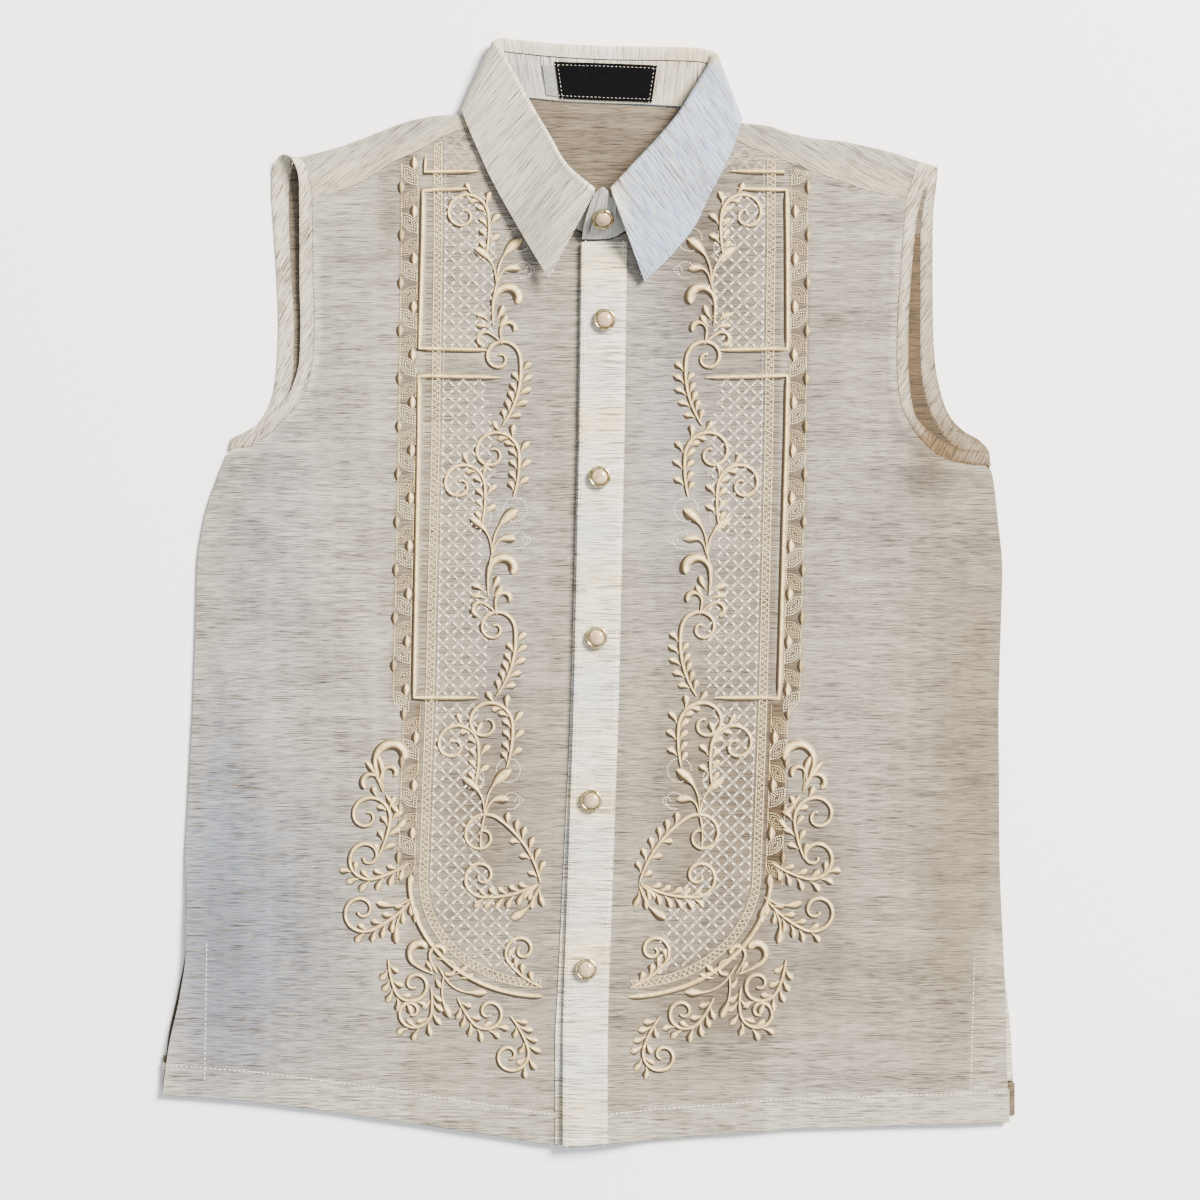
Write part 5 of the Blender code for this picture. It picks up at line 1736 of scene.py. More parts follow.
@dataclass
class Collar:
    """The stand with its two laps, and the leaf over its roll."""

    crown: float = 0.7  # how far the leaf bellies out between its roll and its edge
    stand_rows: int = 12
    leaf_rows: int = 15
    lap_spans: int = 6

    def __post_init__(self) -> None:
        """Works out the sections and lays both pieces."""
        dense = spline(COLLAR.rows, COLLAR_SPANS)
        self.neck, self.roll, self.edge = dense[:, 0:3], dense[:, 3:6], dense[:, 6:9]
        turn, self.radius = np.radians(dense[:, 9:10]), dense[:, 10:11]
        wearer_left = np.where(np.arange(len(dense)) * 2 < len(dense) - 1, -1.0, 1.0)[:, None]
        up = np.array([0.0, 0.0, 1.0])
        self.top = self.roll
        for _ in range(4):
            self.rise = unit(self.top - self.neck)
            upright = unit(up - (self.rise @ up)[:, None] * self.rise)
            aside = wearer_left * unit(np.cross(self.rise, upright))
            self.face = np.cos(turn) * upright + np.sin(turn) * aside
            self.top = self.roll - self.radius * (self.face + self.rise)
        self.stand = self.stand_grid()
        self.leaf = self.leaf_grid()

    def lap(self, table: Table) -> list[tuple[Array, Array]]:
        """Bottoms and tops of a lap's sections, along a smooth curve."""
        rows = spline(table.rows, self.lap_spans)
        return [(row[:3], row[3:]) for row in rows]

    def stand_grid(self) -> Array:
        """The stand: its under lap, the ring below the leaf, and its over lap.

        Returns:
            Points of the middle surface, row by row.
        """
        sewn = self.top - ROLL_SEAM * self.rise
        pairs = self.lap(UNDER_LAP) + list(zip(self.neck, sewn)) + self.lap(OVER_LAP)
        steps = np.linspace(0, 1, self.stand_rows)[:, None]
        return np.array([low + (high - low) * steps for low, high in pairs])

    def leaf_grid(self) -> Array:
        """The leaf: from its seam on the stand, round the roll and down to its free edge.

        Returns:
            Points of the middle surface, row by row.
        """
        steps = np.linspace(0, 1, self.leaf_rows)[1:]
        rows = []
        for top, edge, rise, face, radius in zip(
            self.top, self.edge, self.rise, self.face, self.radius
        ):
            out = [top - (ROLL_SEAM - LEAF_EASE) * rise]
            centre = top + radius * face
            for angle in np.linspace(0, pi, ROLL_STEPS + 1):
                out.append(centre + radius * (sin(angle) * rise - cos(angle) * face))
            leaving = out[-1]
            belly = self.crown * max(float(face[2]), 0.0)
            for t in steps:
                out.append(leaving + (edge - leaving) * t + (0, 0, belly * sin(pi * t)))
            rows.append(out)
        grid = np.array(rows)
        grid[..., 2] = np.maximum(grid[..., 2], COLLAR_CLOTH / 2)
        return grid

    @staticmethod
    def weave(grid: Array) -> Array:
        """The weft runs from the neck to the edge, across both pieces of the collar.

        Args:
            grid: Points of the middle surface, row by row.

        Returns:
            Places along and across the weft, in millimetres.
        """
        lengths = np.linalg.norm(np.diff(grid, axis=0), axis=-1).mean(axis=1)
        along = np.concatenate([[0], np.cumsum(lengths)])
        depths = np.linalg.norm(np.diff(grid, axis=1), axis=-1)
        down = np.concatenate([np.zeros((len(grid), 1)), np.cumsum(depths, axis=1)], axis=1)
        middle = along - along[-1] / 2
        lean = 0.25 * np.sign(middle) * smooth((abs(middle) - 60.0) / 40.0)
        return joined(down, along[:, None] + lean[:, None] * down)

    def tone(self, grid: Array) -> Array:
        """Painted light: warm cream on the wearer's right leaf and on the left half of the roll at
        the back, cool white on the rest of the left leaf.

        Args:
            grid: Points of the middle surface, row by row.

        Returns:
            Warm, cool, shaded and doubled shares.
        """
        tone = np.zeros((*grid.shape[:2], 4))
        x = grid[..., 0] - 11.0
        behind = smooth((grid[..., 1] - 316.0) / 5.0)
        tone[..., 0] = np.maximum(0.3 * smooth(-x / 60.0), 0.8 * behind * smooth(x / 60.0))
        tone[..., 1] = smooth(x / 20.0) * (1 - behind)
        tone[..., 3] = 0.4 - 0.3 * smooth(x / 30.0)
        return tone

    def build(self, trims: list[Object]) -> None:
        """Makes both pieces.

        Args:
            trims: The stitching of the leaf.
        """
        # Painted light on the stand: warm on most of it, cool on its wearer's right end and on the
        # laps; the laps are also paler, doubled.
        laps = smooth((285.0 - self.stand[..., 1]) / 12.0)
        cool = smooth((-8.0 - self.stand[..., 0]) / 20.0)
        warm, bluish = 0.45 * (1 - cool) * (1 - laps), 0.25 * np.maximum(cool, laps)
        tone = joined(warm, bluish, 0 * laps, 0.25 + 0.65 * laps)
        Panel("collar_stand", self.stand, COLLAR_FINISH, "collar_cloth", ("yoke_cloth",),
              uv=self.weave(self.stand), tone=tone, thickness=COLLAR_CLOTH).build()
        Panel("collar_leaf", self.leaf, COLLAR_FINISH, "collar_cloth",
              ("floor", "collar_stand_cloth"), uv=self.weave(self.leaf),
              tone=self.tone(self.leaf), thickness=COLLAR_CLOTH).build(trims)


@dataclass
class Tags:
    """The bare label and the bare size tab, sewn inside the back of the stand.

    Each is given by the x of its two sides and the heights of its two ends up the stand.
    """

    label: tuple[float, float, float, float] = (-17.0, 38.5, 1.2, 23.4)
    size_tab: tuple[float, float, float, float] = (-24.5, -17.6, 2.6, 20.5)

    def laid(self, collar: Collar, tag: tuple[float, float, float, float]) -> Array:
        """A tag on the inside of the stand, from the stand's own points, moved out.

        Args:
            collar: The collar, already laid.
            tag: The tag's two sides and two ends.

        Returns:
            Points of the middle surface, row by row.
        """
        left_x, right_x, bottom, top = tag
        back = slice(SHOULDER_SECTIONS, -SHOULDER_SECTIONS)
        columns = []
        for x in np.linspace(left_x, right_x, max(6, int((right_x - left_x) / 2))):
            ends = (collar.neck[back], collar.top[back])
            low, high = (read_off(x, collar.neck[back, 0], end) for end in ends)
            rise = unit(high - low)
            columns.append([low + height * rise for height in np.linspace(bottom, top, 12)])
        offset = COLLAR_CLOTH / 2 + CLOTH / 2 + SEAM
        return moved_out(np.array(columns).transpose(1, 0, 2), offset)

    def build(self, collar: Collar) -> Array:
        """Makes both tags.

        Args:
            collar: The collar, already laid.

        Returns:
            The label's grid, for its stitching.
        """
        grid = self.laid(collar, self.label)
        Panel("label", grid, LABEL_TAPE, "label_weave", ("collar_stand_cloth",)).build()
        tab = self.laid(collar, self.size_tab)
        Panel("size_tab", tab, TAB_TAPE, "tab_weave", ("collar_stand_cloth",)).build()
        return grid


@dataclass
class Buttons:
    """Six shank buttons: a gilt cup with a rolled rim, and a pearl cabochon in it."""

    rim_radius: float = 6.7
    rim_height: float = 2.6
    pearl_radius: float = 4.7
    pearl_rise: float = 2.2
    sides: int = 40
    collar_place: Triple = (9.0, 225.5, 0.9)
    places: Table = table(
        "x y shank",
        (10, 164.5, 0.4), (7, 70, 0.4), (5.2, -26.5, 0.4), (2, -124.5, 0.4), (-1, -226, 0.4),
    )

    def cup(self) -> Shape:
        """The cup on its shank, with a rolled rim round the pearl's seat.

        Returns:
            The solid, about its own axis.
        """
        seat = self.pearl_radius + 0.25
        radius, height = self.rim_radius, self.rim_height
        roll = (radius - seat) / 2
        profile = [(1.1, -0.7), (1.3, 0.0), (radius - 1.6, 0.1), (radius - 0.5, 0.7)]
        for step in range(9):
            angle = radians(-15 + 24 * step)
            profile.append((seat + roll + roll * cos(angle), height - roll + roll * sin(angle)))
        return turned(profile + [(seat, 1.2), (0.4, 1.2)], self.sides)

    def pearl(self) -> Shape:
        """A low dome that sits in the cup.

        Returns:
            The solid, about its own axis.
        """
        profile = [(self.pearl_radius - 0.3, 1.35), (self.pearl_radius, 1.6)]
        for step in range(9):
            angle = radians(10.6 * step)
            lift = self.rim_height * 0.7 + self.pearl_rise * sin(angle)
            profile.append((self.pearl_radius * cos(angle), lift))
        return turned(profile, self.sides)

    @staticmethod
    def seat(grid: Array, place: Sequence[float], thickness: float) -> Matrix:
        """The frame of a button that stands on a cloth.

        Args:
            grid: The cloth's middle surface.
            place: The button's x and y, and how far its shank lifts it.
            thickness: The cloth's wall.

        Returns:
            The button's frame, in millimetres.
        """
        x, y, shank = place
        points, looks = grid.reshape(-1, 3), normals_of(grid).reshape(-1, 3)
        away = np.hypot(points[:, 0] - x, points[:, 1] - y)
        near = np.argsort(away)[:9]
        looking = unit(np.average(looks[near], axis=0, weights=1 / (1 + away[near])))
        centre = points[near].mean(axis=0)
        height = centre[2] - float((np.array([x, y]) - centre[:2]) @ looking[:2]) / looking[2]
        at = np.array([x, y, height]) + (thickness / 2 + shank) * looking
        turn = Vector((0, 0, 1)).rotation_difference(Vector(looking)).to_matrix().to_4x4()
        return Matrix.Translation(Vector(at)) @ turn

    def build(self, over_lap: Array, placket: Array) -> None:
        """Makes the buttons.

        Args:
            over_lap: The stand's upper lap.
            placket: The buttonhole placket.
        """
        frames = [self.seat(over_lap, self.collar_place, COLLAR_CLOTH)]
        frames += [self.seat(placket, row, 1.0) for row in self.places.rows]
        for number, at in enumerate(frames, start=1):
            turn = np.array(at)
            for part, shape, finish, slot in (
                ("rim", self.cup(), GiltMetal(), "gilt_metal"),
                ("pearl", self.pearl(), ShellPearl(), "pearl"),
            ):
                shape.points = shape.points @ turn[:3, :3].T + turn[:3, 3]
                name = f"button_{number}_{part}"
                seated(add_mesh(f"{name}_fine", shape, finish), slot, name)


# -------- sewing


class Sewing:
    """Machine stitches laid along lines by Geometry Nodes, one tree for every run."""

    def __init__(self) -> None:
        """Builds the tree."""
        tree = bpy.data.node_groups.new("stitch_run", "GeometryNodeTree")
        sockets = [("Lines", "NodeSocketGeometry"), ("Spacing", "NodeSocketFloat")]
        sockets += [("Length", "NodeSocketFloat"), ("Width", "NodeSocketFloat")]
        sockets += [("Thread", "NodeSocketMaterial")]
        self.inputs = {
            name: tree.interface.new_socket(name, in_out="INPUT", socket_type=kind).identifier
            for name, kind in sockets
        }
        tree.interface.new_socket("Stitches", in_out="OUTPUT", socket_type="NodeSocketGeometry")
        given = node(tree, "NodeGroupInput").outputs
        curve = node(tree, "GeometryNodeMeshToCurve", {0: given["Lines"]}).outputs[0]
        points = node(tree, "GeometryNodeResampleCurve",
                      {"Curve": curve, "Length": given["Spacing"]}, mode="LENGTH").outputs[0]
        tangent = node(tree, "GeometryNodeInputTangent").outputs[0]
        turn = node(tree, "FunctionNodeAlignRotationToVector", {"Vector": tangent}, axis="X")
        size = node(tree, "ShaderNodeCombineXYZ",
                    {0: given["Length"], 1: given["Width"], 2: given["Width"]}).outputs[0]
        stitch = node(tree, "GeometryNodeMeshIcoSphere", {"Radius": 0.5, "Subdivisions": 1})
        placed = node(tree, "GeometryNodeInstanceOnPoints",
                      {"Points": points, "Instance": stitch.outputs[0],
                       "Rotation": turn.outputs[0], "Scale": size}).outputs[0]
        real = node(tree, "GeometryNodeRealizeInstances", {0: placed}).outputs[0]
        threaded = node(tree, "GeometryNodeSetMaterial",
                        {"Geometry": real, "Material": given["Thread"]}).outputs[0]
        node(tree, "NodeGroupOutput", {0: threaded})
        self.tree = tree

    def run(self, name: str, lines: Iterable[Array], gauge: Triple,
            thread: SewingThread, slot: str) -> Object:
        """Sews along some lines.

        Args:
            name: The piece's name.
            lines: Points of each line, on the cloth, in millimetres.
            gauge: Spacing, length and width of the stitches, in millimetres.
            thread: Their finish.
            slot: Passed to seated, which does not use it.

        Returns:
            The stitches, as one plain mesh.
        """
        points, edges, count = [], [], 0
        for line in lines:
            if len(line) < 2:
                continue
            points.append(line * MM)
            edges += [(count + k, count + k + 1) for k in range(len(line) - 1)]
            count += len(line)
        path = bpy.data.meshes.new(f"{name}_path")
        path.from_pydata(np.vstack(points).tolist(), edges, [])
        host = linked(f"{name}_path", path)
        modifier = host.modifiers.new("stitches", "NODES")
        modifier.node_group = self.tree
        for key, value in zip(("Spacing", "Length", "Width"), gauge):
            modifier[self.inputs[key]] = value * MM
        modifier[self.inputs["Thread"]] = material(thread)
        graph = bpy.context.evaluated_depsgraph_get()
        mesh = bpy.data.meshes.new_from_object(host.evaluated_get(graph))
        bpy.data.objects.remove(host)
        mesh.name = name
        LOG.info("%s: %d faces", name, len(mesh.polygons))
        return seated(linked(name, mesh), slot)


def inset_line(grid: Array, distance: float, lift: float, far: bool = False,
               turned_over: bool = False) -> Array:
    """A line beside one edge of a grid.

    Args:
        grid: The cloth, with the line's own direction first.
        distance: How far in from the edge, in millimetres.
        lift: How far over the middle surface.
        far: Whether the edge is the grid's last one.
        turned_over: Whether the grid's own two directions have changed places.

    Returns:
        The line's points.
    """
    looks = -normals_of(grid) if turned_over else normals_of(grid)
    if far:
        grid, looks = grid[:, ::-1], looks[:, ::-1]
    out = []
    for points, ways in zip(grid, looks):
        if np.isnan(points[:, 0]).any():
            continue
        at = lengths_along(points)
        out.append(read_off(distance, at, points) + lift * read_off(distance, at, ways))
    return np.array(out)


def min_reach(line: Array, places: list[Array]) -> Array:
    """How far each point of a line is from the nearest of some places."""
    return np.min([np.hypot(*(line - place).T) for place in places], axis=0)


def on_front(side: Side, plan: Array, lift: float) -> Array:
    """A line of (x, y) raised onto the face of a front."""
    return lifted(np.asarray(plan, float), LIE.of(side), CLOTH / 2 + lift)


# -------- embroidery


def rounded_off(share: Array, start: float, reach: float) -> Array:
    """1 down to nearly 0 along a quarter circle, beyond a share of a stroke's length."""
    return np.sqrt(1 - np.clip((share - start) / reach, 0, 1) ** 2)


@dataclass
class Stroke:
    """A raised satin stroke: its middle line, half widths and heights, in millimetres."""

    line: Array
    half: Array
    height: float = 1.0

    def __post_init__(self) -> None:
        """Rounds both ends."""
        self.half = np.array(self.half, float)
        self.half[[0, -1]] *= 0.35
        self.half[[1, -2]] *= 0.85


@dataclass
class Embroidery:
    """The two mirrored panels of barong embroidery, drawn as out from the centre front and up.

    Each scroll, leaf, comma and bud follows a rule for its kind; the tables only place them,
    the first four from the top of each unit that repeats, and the others over the foot.
    """

    top: float = 282.0
    unit_tops: tuple[float, ...] = (241.0, 78.0, -79.0)
    # How many degrees a curl turns through, then its inner and outer shares of its radius.
    scroll_bend: Triple = (490.0, 0.24, 1.4)
    comma_bend: Triple = (225.0, 0.6, 1.1)
    scrolls: Table = table(
        "root y eye eye_y radius hand outer inner",
        (72, -38, 87, -13, 10.6, -1, 4, 5), (60.5, -140, 64, -99.5, 8.8, -1, 5, 5),
        (53, -182.5, 68, -157, 11.4, -1, 5, 6),
    )
    commas: Table = table(
        "root y eye eye_y radius hand width",
        (66, -79, 58.5, -63, 8.8, 1, 5.8), (61, -90.5, 57.5, -81.5, 5.2, 1, 3.8),
        (61.5, -90.5, 72, -87.5, 5, -1, 3.8),
    )
    buds: Table = table(
        "root y tip tip_y bow length width",
        (66.5, -76, 64.7, -54, -0.05, 4, 1.8), (64.7, -56, 49.5, -27, -0.16, 14.5, 6.6),
        (64.7, -56, 78.8, -32.5, 0.16, 13, 6), (64.6, -55, 50.3, -45.5, -0.3, 9, 5),
    )
    leaflets: Table = table(
        "base y tip tip_y",
        (65.5, -76.5, 60.5, -67), (64, -80.5, 58.5, -73), (69, -77, 77.5, -72.5),
        (67.5, -81.5, 77, -79.5),
    )
    foot_scrolls: Table = table(
        "root y eye eye_y radius hand outer inner",
        (30, -174.5, 67, -148, 10.2, -1, 6, 3), (31, -175, 65, -169, 9, 1, 6, 5),
        (27, -237, 38.5, -214.5, 7.6, 1, 0, 4), (129.5, -160, 137.5, -134, 10.2, -1, 5, 4),
        (110, -162.5, 135, -157, 10, 1, 6, 4), (106, -183, 137.5, -189.5, 9.6, 1, 6, 4),
        (119.5, -220.5, 102.5, -235, 8.6, -1, 6, 3), (93.5, -237.5, 106.5, -252, 8.6, 1, 6, 3),
        (77, -243.5, 57.5, -251.5, 8.2, -1, 6, 3), (45.5, -255.5, 47.5, -279, 8.6, 1, 6, 3),
    )
    foot_commas: Table = table(
        "root y eye eye_y radius hand width",
        (126, -119, 123, -99, 11, 1, 5.8), (128, -116.5, 123, -108, 4.8, 1, 3.6),
        (126.5, -117.5, 134.5, -113.5, 6, -1, 4), (92, -229, 102, -217, 7.4, 1, 5.2),
        (90, -229, 90.5, -217, 5.6, 1, 3.8), (90, -220.5, 83, -226, 4.8, 1, 3.2),
    )
    foot_buds: Table = table(
        "root y tip tip_y bow length width",
        (30, -176, 47, -196.5, -0.12, 12, 5.4), (30, -177, 34.5, -190.5, 0.1, 8, 4.4),
        (106, -183, 128.5, -186, -0.16, 9.5, 5), (107.5, -185, 104.5, -198.5, -0.1, 9.5, 5),
        (111.5, -189, 115, -211.5, 0.1, 11, 5.4), (90, -224, 59.5, -240.5, 0.2, 10, 5.2),
        (86, -230, 81.5, -256, 0.1, 11, 5.4),
    )
    foot_leaflets: Table = table(
        "base y tip tip_y",
        (128, -118, 138, -101), (127, -116, 131, -97), (125, -120, 119.5, -127),
        (123, -124, 115, -133), (120, -143, 112.5, -136), (93, -229, 97, -222),
        (91, -231, 87, -238), (80, -230, 72, -224), (77, -232, 68, -229.5), (30.5, -176, 40, -184),
        (30, -178, 27, -189),
    )
    loops: Table = table(
        "a y radius",
        (51.5, -27.5, 7.2), (49, -46, 5), (72.5, -32, 6.5), (44.5, -46, 2.4),
    )
    boxes: tuple[tuple[tuple[float, float], ...], ...] = (
        ((108.0, 264.0), (108.5, 254.0), (76.0, 254.5)),
        ((80.0, 244.0), (109.5, 243.0), (111.0, 147.5), (69.0, 146.5)),
        ((62.0, 130.0), (111.0, 131.0), (110.0, -63.0), (71.0, -63.0)),
    )
    arc_centre: tuple[float, float] = (26.0, -171.0)
    arc_radii: tuple[float, float] = (83.0, 72.0)
    chain_at: float = 100.5
    band_bottom: float = -176.0
    dot_spacing: float = 28.85
    leaf_half: tuple[float, float] = (7.2, 3.9)  # half the length and half the width of a leaf
    lattice_pitch: float = 6.6

    # -- rules for one motif of each kind

    @staticmethod
    def curl(root: Array, eye: Array, radius: float, hand: float, turned: float,
             tight: float, wide: float) -> Array:
        """A stem that runs from its root into a curl, whose bend tightens towards its end.

        Args:
            root: Where it leaves the vine.
            eye: The middle of the curl.
            radius: What the next sizes are shares of.
            hand: 1 where it runs in anticlockwise, and -1 where clockwise.
            turned: How many degrees the curl turns through.
            tight: Radius of its inner end.
            wide: Radius of its outer sweep.

        Returns:
            Its points.
        """
        bends = np.radians(np.arange(0.0, turned, 9.0))
        sweep = radius * (tight + (wide - tight) * (bends / bends[-1]) ** 1.4)
        onward = bends[-1] + np.arange(1, 90) * 1.2 / (6.5 * radius)
        turns = np.concatenate([bends, onward])
        lengths = np.concatenate([sweep * radians(9.0), np.full(89, 1.2)])
        steps = lengths[:, None] * joined(np.cos(turns), -hand * np.sin(turns))
        out = np.cumsum(steps, axis=0)
        m = int(0.42 * len(bends))
        middle = out[m] - sweep[m] * np.array([sin(turns[m]), hand * cos(turns[m])])
        reach = np.hypot(*(out - middle).T)
        goal = max(float(np.hypot(*(root - eye))), radius * 0.9)
        beyond = np.nonzero((reach >= goal) & (np.arange(len(out)) > 0.7 * len(bends)))[0]
        path = (out[: beyond[0] + 1] - middle)[::-1]
        turn = atan2(*(root - eye)[::-1]) - atan2(path[0, 1], path[0, 0])
        c, s = cos(turn), sin(turn)
        return eye + path @ np.array([[c, s], [-s, c]])

    @staticmethod
    def leaf(base: Array, tip: Array, curl: float = 0.0) -> Stroke:
        """A teardrop leaf, narrow where it grows and broad towards its tip.

        Args:
            base: Where it grows.
            tip: Where it ends.
            curl: Its bow, as a share of its length.

        Returns:
            Its stroke.
        """
        t = np.linspace(0, 1, 8)
        way = tip - base
        aside = np.array([-way[1], way[0]])
        line = base + t[:, None] * way + (curl * np.sin(pi * t))[:, None] * aside
        full = np.sin(pi * t**2.3) ** 0.7
        return Stroke(line, 0.36 + min(0.27 * np.hypot(*way), 1.9) * full, 1.1)

    def leaves(self, path: Array, count: int, side: int, reach: float,
               length: float) -> list[Stroke]:
        """Leaves along one side of a stem, pointing out and on.

        Args:
            path: The stem.
            count: How many.
            side: 1 on its left and -1 on its right.
            reach: How far along the stem they grow, in millimetres.
            length: Length of the largest.

        Returns:
            Their strokes.
        """
        out = []
        along = np.gradient(path, axis=0)
        gone = lengths_along(path)
        reach = min(reach, 0.62 * gone[-1])
        for k in range(count):
            i = int(np.searchsorted(gone, 2.5 + reach * (k + 0.22 * (side + 1)) / count))
            way = atan2(along[i, 1], along[i, 0])
            size = length * (0.92 + 0.26 * sin(pi * (k + 1) / (count + 1)))
            start = path[i] + 0.8 * side * np.array([-sin(way), cos(way)])
            ahead = way + side * 0.78
            tip = start + size * np.array([cos(ahead), sin(ahead)])
            out.append(self.leaf(start, tip, -side * 0.08))
        return out

    def motifs(self, y: float, scrolls: Array, commas: Array, buds: Array,
               leaflets: Array) -> list[Stroke]:
        """All strokes of the vine that some rows place.

        Args:
            y: The height that the rows count from.
            scrolls: Roots and eyes of scrolls, and how many leaves grow outside and inside.
            commas: Roots and eyes of commas, hooks that swell towards their ends.
            buds: Roots and tips of buds, teardrops on bowed stems.
            leaflets: Bases and tips of single leaves.

        Returns:
            The strokes.
        """
        out = []
        for root, root_y, eye, eye_y, radius, hand, outer, inner in scrolls:
            ends = np.array([(root, root_y + y), (eye, eye_y + y)])
            path = self.curl(*ends, radius, hand, *self.scroll_bend)
            share = np.linspace(0, 1, len(path))
            half = 0.95 + 0.45 * np.sin(pi * share) + 0.35 * smooth((share - 0.94) / 0.04)
            out.append(Stroke(path, half))
            out += self.leaves(path, int(outer), -int(hand), 4.1 * radius, 7.8)
            out += self.leaves(path, int(inner), int(hand), 3.6 * radius, 6.6)
        for root, root_y, eye, eye_y, radius, hand, width in commas:
            ends = np.array([(root, root_y + y), (eye, eye_y + y)])
            path = self.curl(*ends, radius, hand, *self.comma_bend)
            share = np.linspace(0, 1, len(path))
            half = 0.8 + (0.5 * width - 0.8) * smooth(share / 0.8)
            out.append(Stroke(path, half * rounded_off(share, 0.9, 0.11), 1.3))
        for root, root_y, tip, tip_y, bow, length, width in buds:
            root, tip = np.array([root, root_y + y]), np.array([tip, tip_y + y])
            t = np.linspace(0, 1, 24)[:, None]
            aside = np.array([root[1] - tip[1], tip[0] - root[0]])
            path = root + t * (tip - root) + bow * aside * np.sin(pi * t)
            share = length / np.hypot(*(tip - root))
            swell = np.clip((t[:, 0] - 1 + share) / share, 0, 1)
            half = 0.85 + (0.5 * width - 0.85) * np.sin(pi * swell**1.5) ** 0.8
            out.append(Stroke(path, half * rounded_off(swell, 0.85, 0.16), 1.25))
        for a, b, c, d in leaflets:
            out.append(self.leaf(np.array([a, b + y]), np.array([c, d + y]), 0.08))
        return out

    # -- the layout of one panel

    def vine(self) -> list[Stroke]:
        """The scrolling vine: one unit repeated down the panel, then its spreading foot.

        Returns:
            Its strokes.
        """
        repeat = [t.rows for t in (self.scrolls, self.commas, self.buds, self.leaflets)]
        foot = (self.foot_scrolls, self.foot_commas, self.foot_buds, self.foot_leaflets)
        out = self.motifs(0.0, *(t.rows for t in foot))
        for y in self.unit_tops[:-1]:
            out += self.motifs(y, *repeat)
        return out + self.motifs(self.unit_tops[-1], repeat[0][:1], (), repeat[2], ())

    def cords(self) -> list[Stroke]:
        """The raised cords that frame the panel, and the arc under it.

        Returns:
            Their strokes.
        """
        out = []
        for corners in self.boxes:
            line = [np.array(corners[0])]
            for a, b in zip(corners, corners[1:]):
                steps = max(2, int(np.hypot(b[0] - a[0], b[1] - a[1]) / 6))
                line += [np.array(a) + (np.array(b) - a) * k / steps for k in range(1, steps + 1)]
            out.append(Stroke(np.array(line), np.full(len(line), 1.7), 1.2))
        line = self.ellipse(self.arc_radii, 48)
        return out + [Stroke(line, np.full(48, 1.7), 1.3)]

    def ellipse(self, radii: tuple[float, float], count: int) -> Array:
        """A quarter of an ellipse from the panel's outer side to its foot.

        Args:
            radii: Its reach outwards and down.
            count: How many points.

        Returns:
            Its points.
        """
        angles = np.linspace(0, -pi / 2, count)
        centre = np.array(self.arc_centre)
        return centre + joined(radii[0] * np.cos(angles), radii[1] * np.sin(angles))

    def dot_places(self, outer: bool) -> list[Array]:
        """Where the dots lie along one edge of the leaf band."""
        ys = np.arange(245.0 if outer else 259.4, self.band_bottom, -self.dot_spacing)
        return [np.array([band_at(y) + (5.1 if outer else -2.7), y]) for y in ys]

    def dots(self, outer: bool) -> list[Stroke]:
        """The satin dots along one edge of the leaf band, pointed at both ends.

        Args:
            outer: Whether it is the outer edge.

        Returns:
            Their strokes.
        """
        t = np.linspace(0, 1, 11)
        bow = joined(np.zeros(11), 8.4 * (0.5 - t))
        half = 0.4 + (1.55 if outer else 1.9) * np.sin(pi * t) ** 1.2
        return [Stroke(place + bow, half, 1.0) for place in self.dot_places(outer)]

    def leaf_rings(self, rising: bool) -> list[Array]:
        """Rings of stitches in the pointed leaves that lean by turns between the dots.

        Args:
            rising: Whether these are the leaves that rise outwards, or the ones between them.

        Returns:
            The rings.
        """
        t = np.linspace(-1, 1, 17)
        lens = np.vstack([joined(t, 1 - t * t), joined(-t, t * t - 1)[1:]])
        lean = radians(53.0 if rising else 134.0)
        way, aside = np.array([cos(lean), sin(lean)]), np.array([-sin(lean), cos(lean)])
        length, width = self.leaf_half if rising else (0.93 * half for half in self.leaf_half)
        out = []
        first, step = self.dot_places(True)[0][1], self.dot_spacing
        for y in np.arange(first + step, self.band_bottom + 12.0, -step):
            y += step * (0.25 if rising else -0.25)
            for share in (1.0, 0.67, 0.34):
                ring = share * (length * lens[:, :1] * way + width * lens[:, 1:] * aside)
                out.append(ring + (band_at(y), y))
        return out

    def band_edges(self) -> list[Array]:
        """The leaf band's two edges, broken at its dots.

        Returns:
            The lines of stitches.
        """
        ys = np.linspace(self.top, self.band_bottom, 400)
        dots = self.dot_places(True) + self.dot_places(False)
        out = []
        for way in (-1, 1):
            line = joined(band_at(ys) + way * (BAND_HALF + 0.4), ys)
            shown = (min_reach(line, dots) > 4.4) & (abs(ys - BAND_STEP_AT) > 1.5)
            out += [line[run] for run in runs(shown)]
        return out

    def chain_lines(self) -> list[Array]:
        """Two strands down the panel and along its arc, and the zigzag between them.

        Returns:
            The three lines.
        """
        foot_x, foot_y = self.arc_centre
        straight = joined(np.full(110, self.chain_at), np.linspace(self.top, foot_y, 110))
        arc = self.ellipse((self.chain_at - foot_x, self.arc_radii[1] - 7.5), 40)
        line = np.vstack([straight, arc[1:]])
        at = lengths_along(line)
        even = np.arange(0, at[-1], 1.7)
        middle = read_off(even, at, line)
        zigzag = np.where(np.arange(len(even)) % 2, 1.0, -1.0)[:, None]
        aside = moved_aside(middle, 1.0) - middle
        return [middle + 2.2 * aside, middle - 2.2 * aside, middle + 1.6 * zigzag * aside]

    def tick_lines(self) -> list[Array]:
        """Short dark bars between the frame and the chain."""
        at = self.chain_at + 4.6
        return [np.array([(at - 1.5, y), (at + 1.5, y)]) for y in np.arange(240.0, -60.0, -3.1)]

    def dotted_line(self) -> list[Array]:
        """A fine line down the inner side of the chain."""
        ys = np.linspace(self.top, self.arc_centre[1], 200)
        return [joined(np.full(200, self.chain_at - 4.4), ys)]

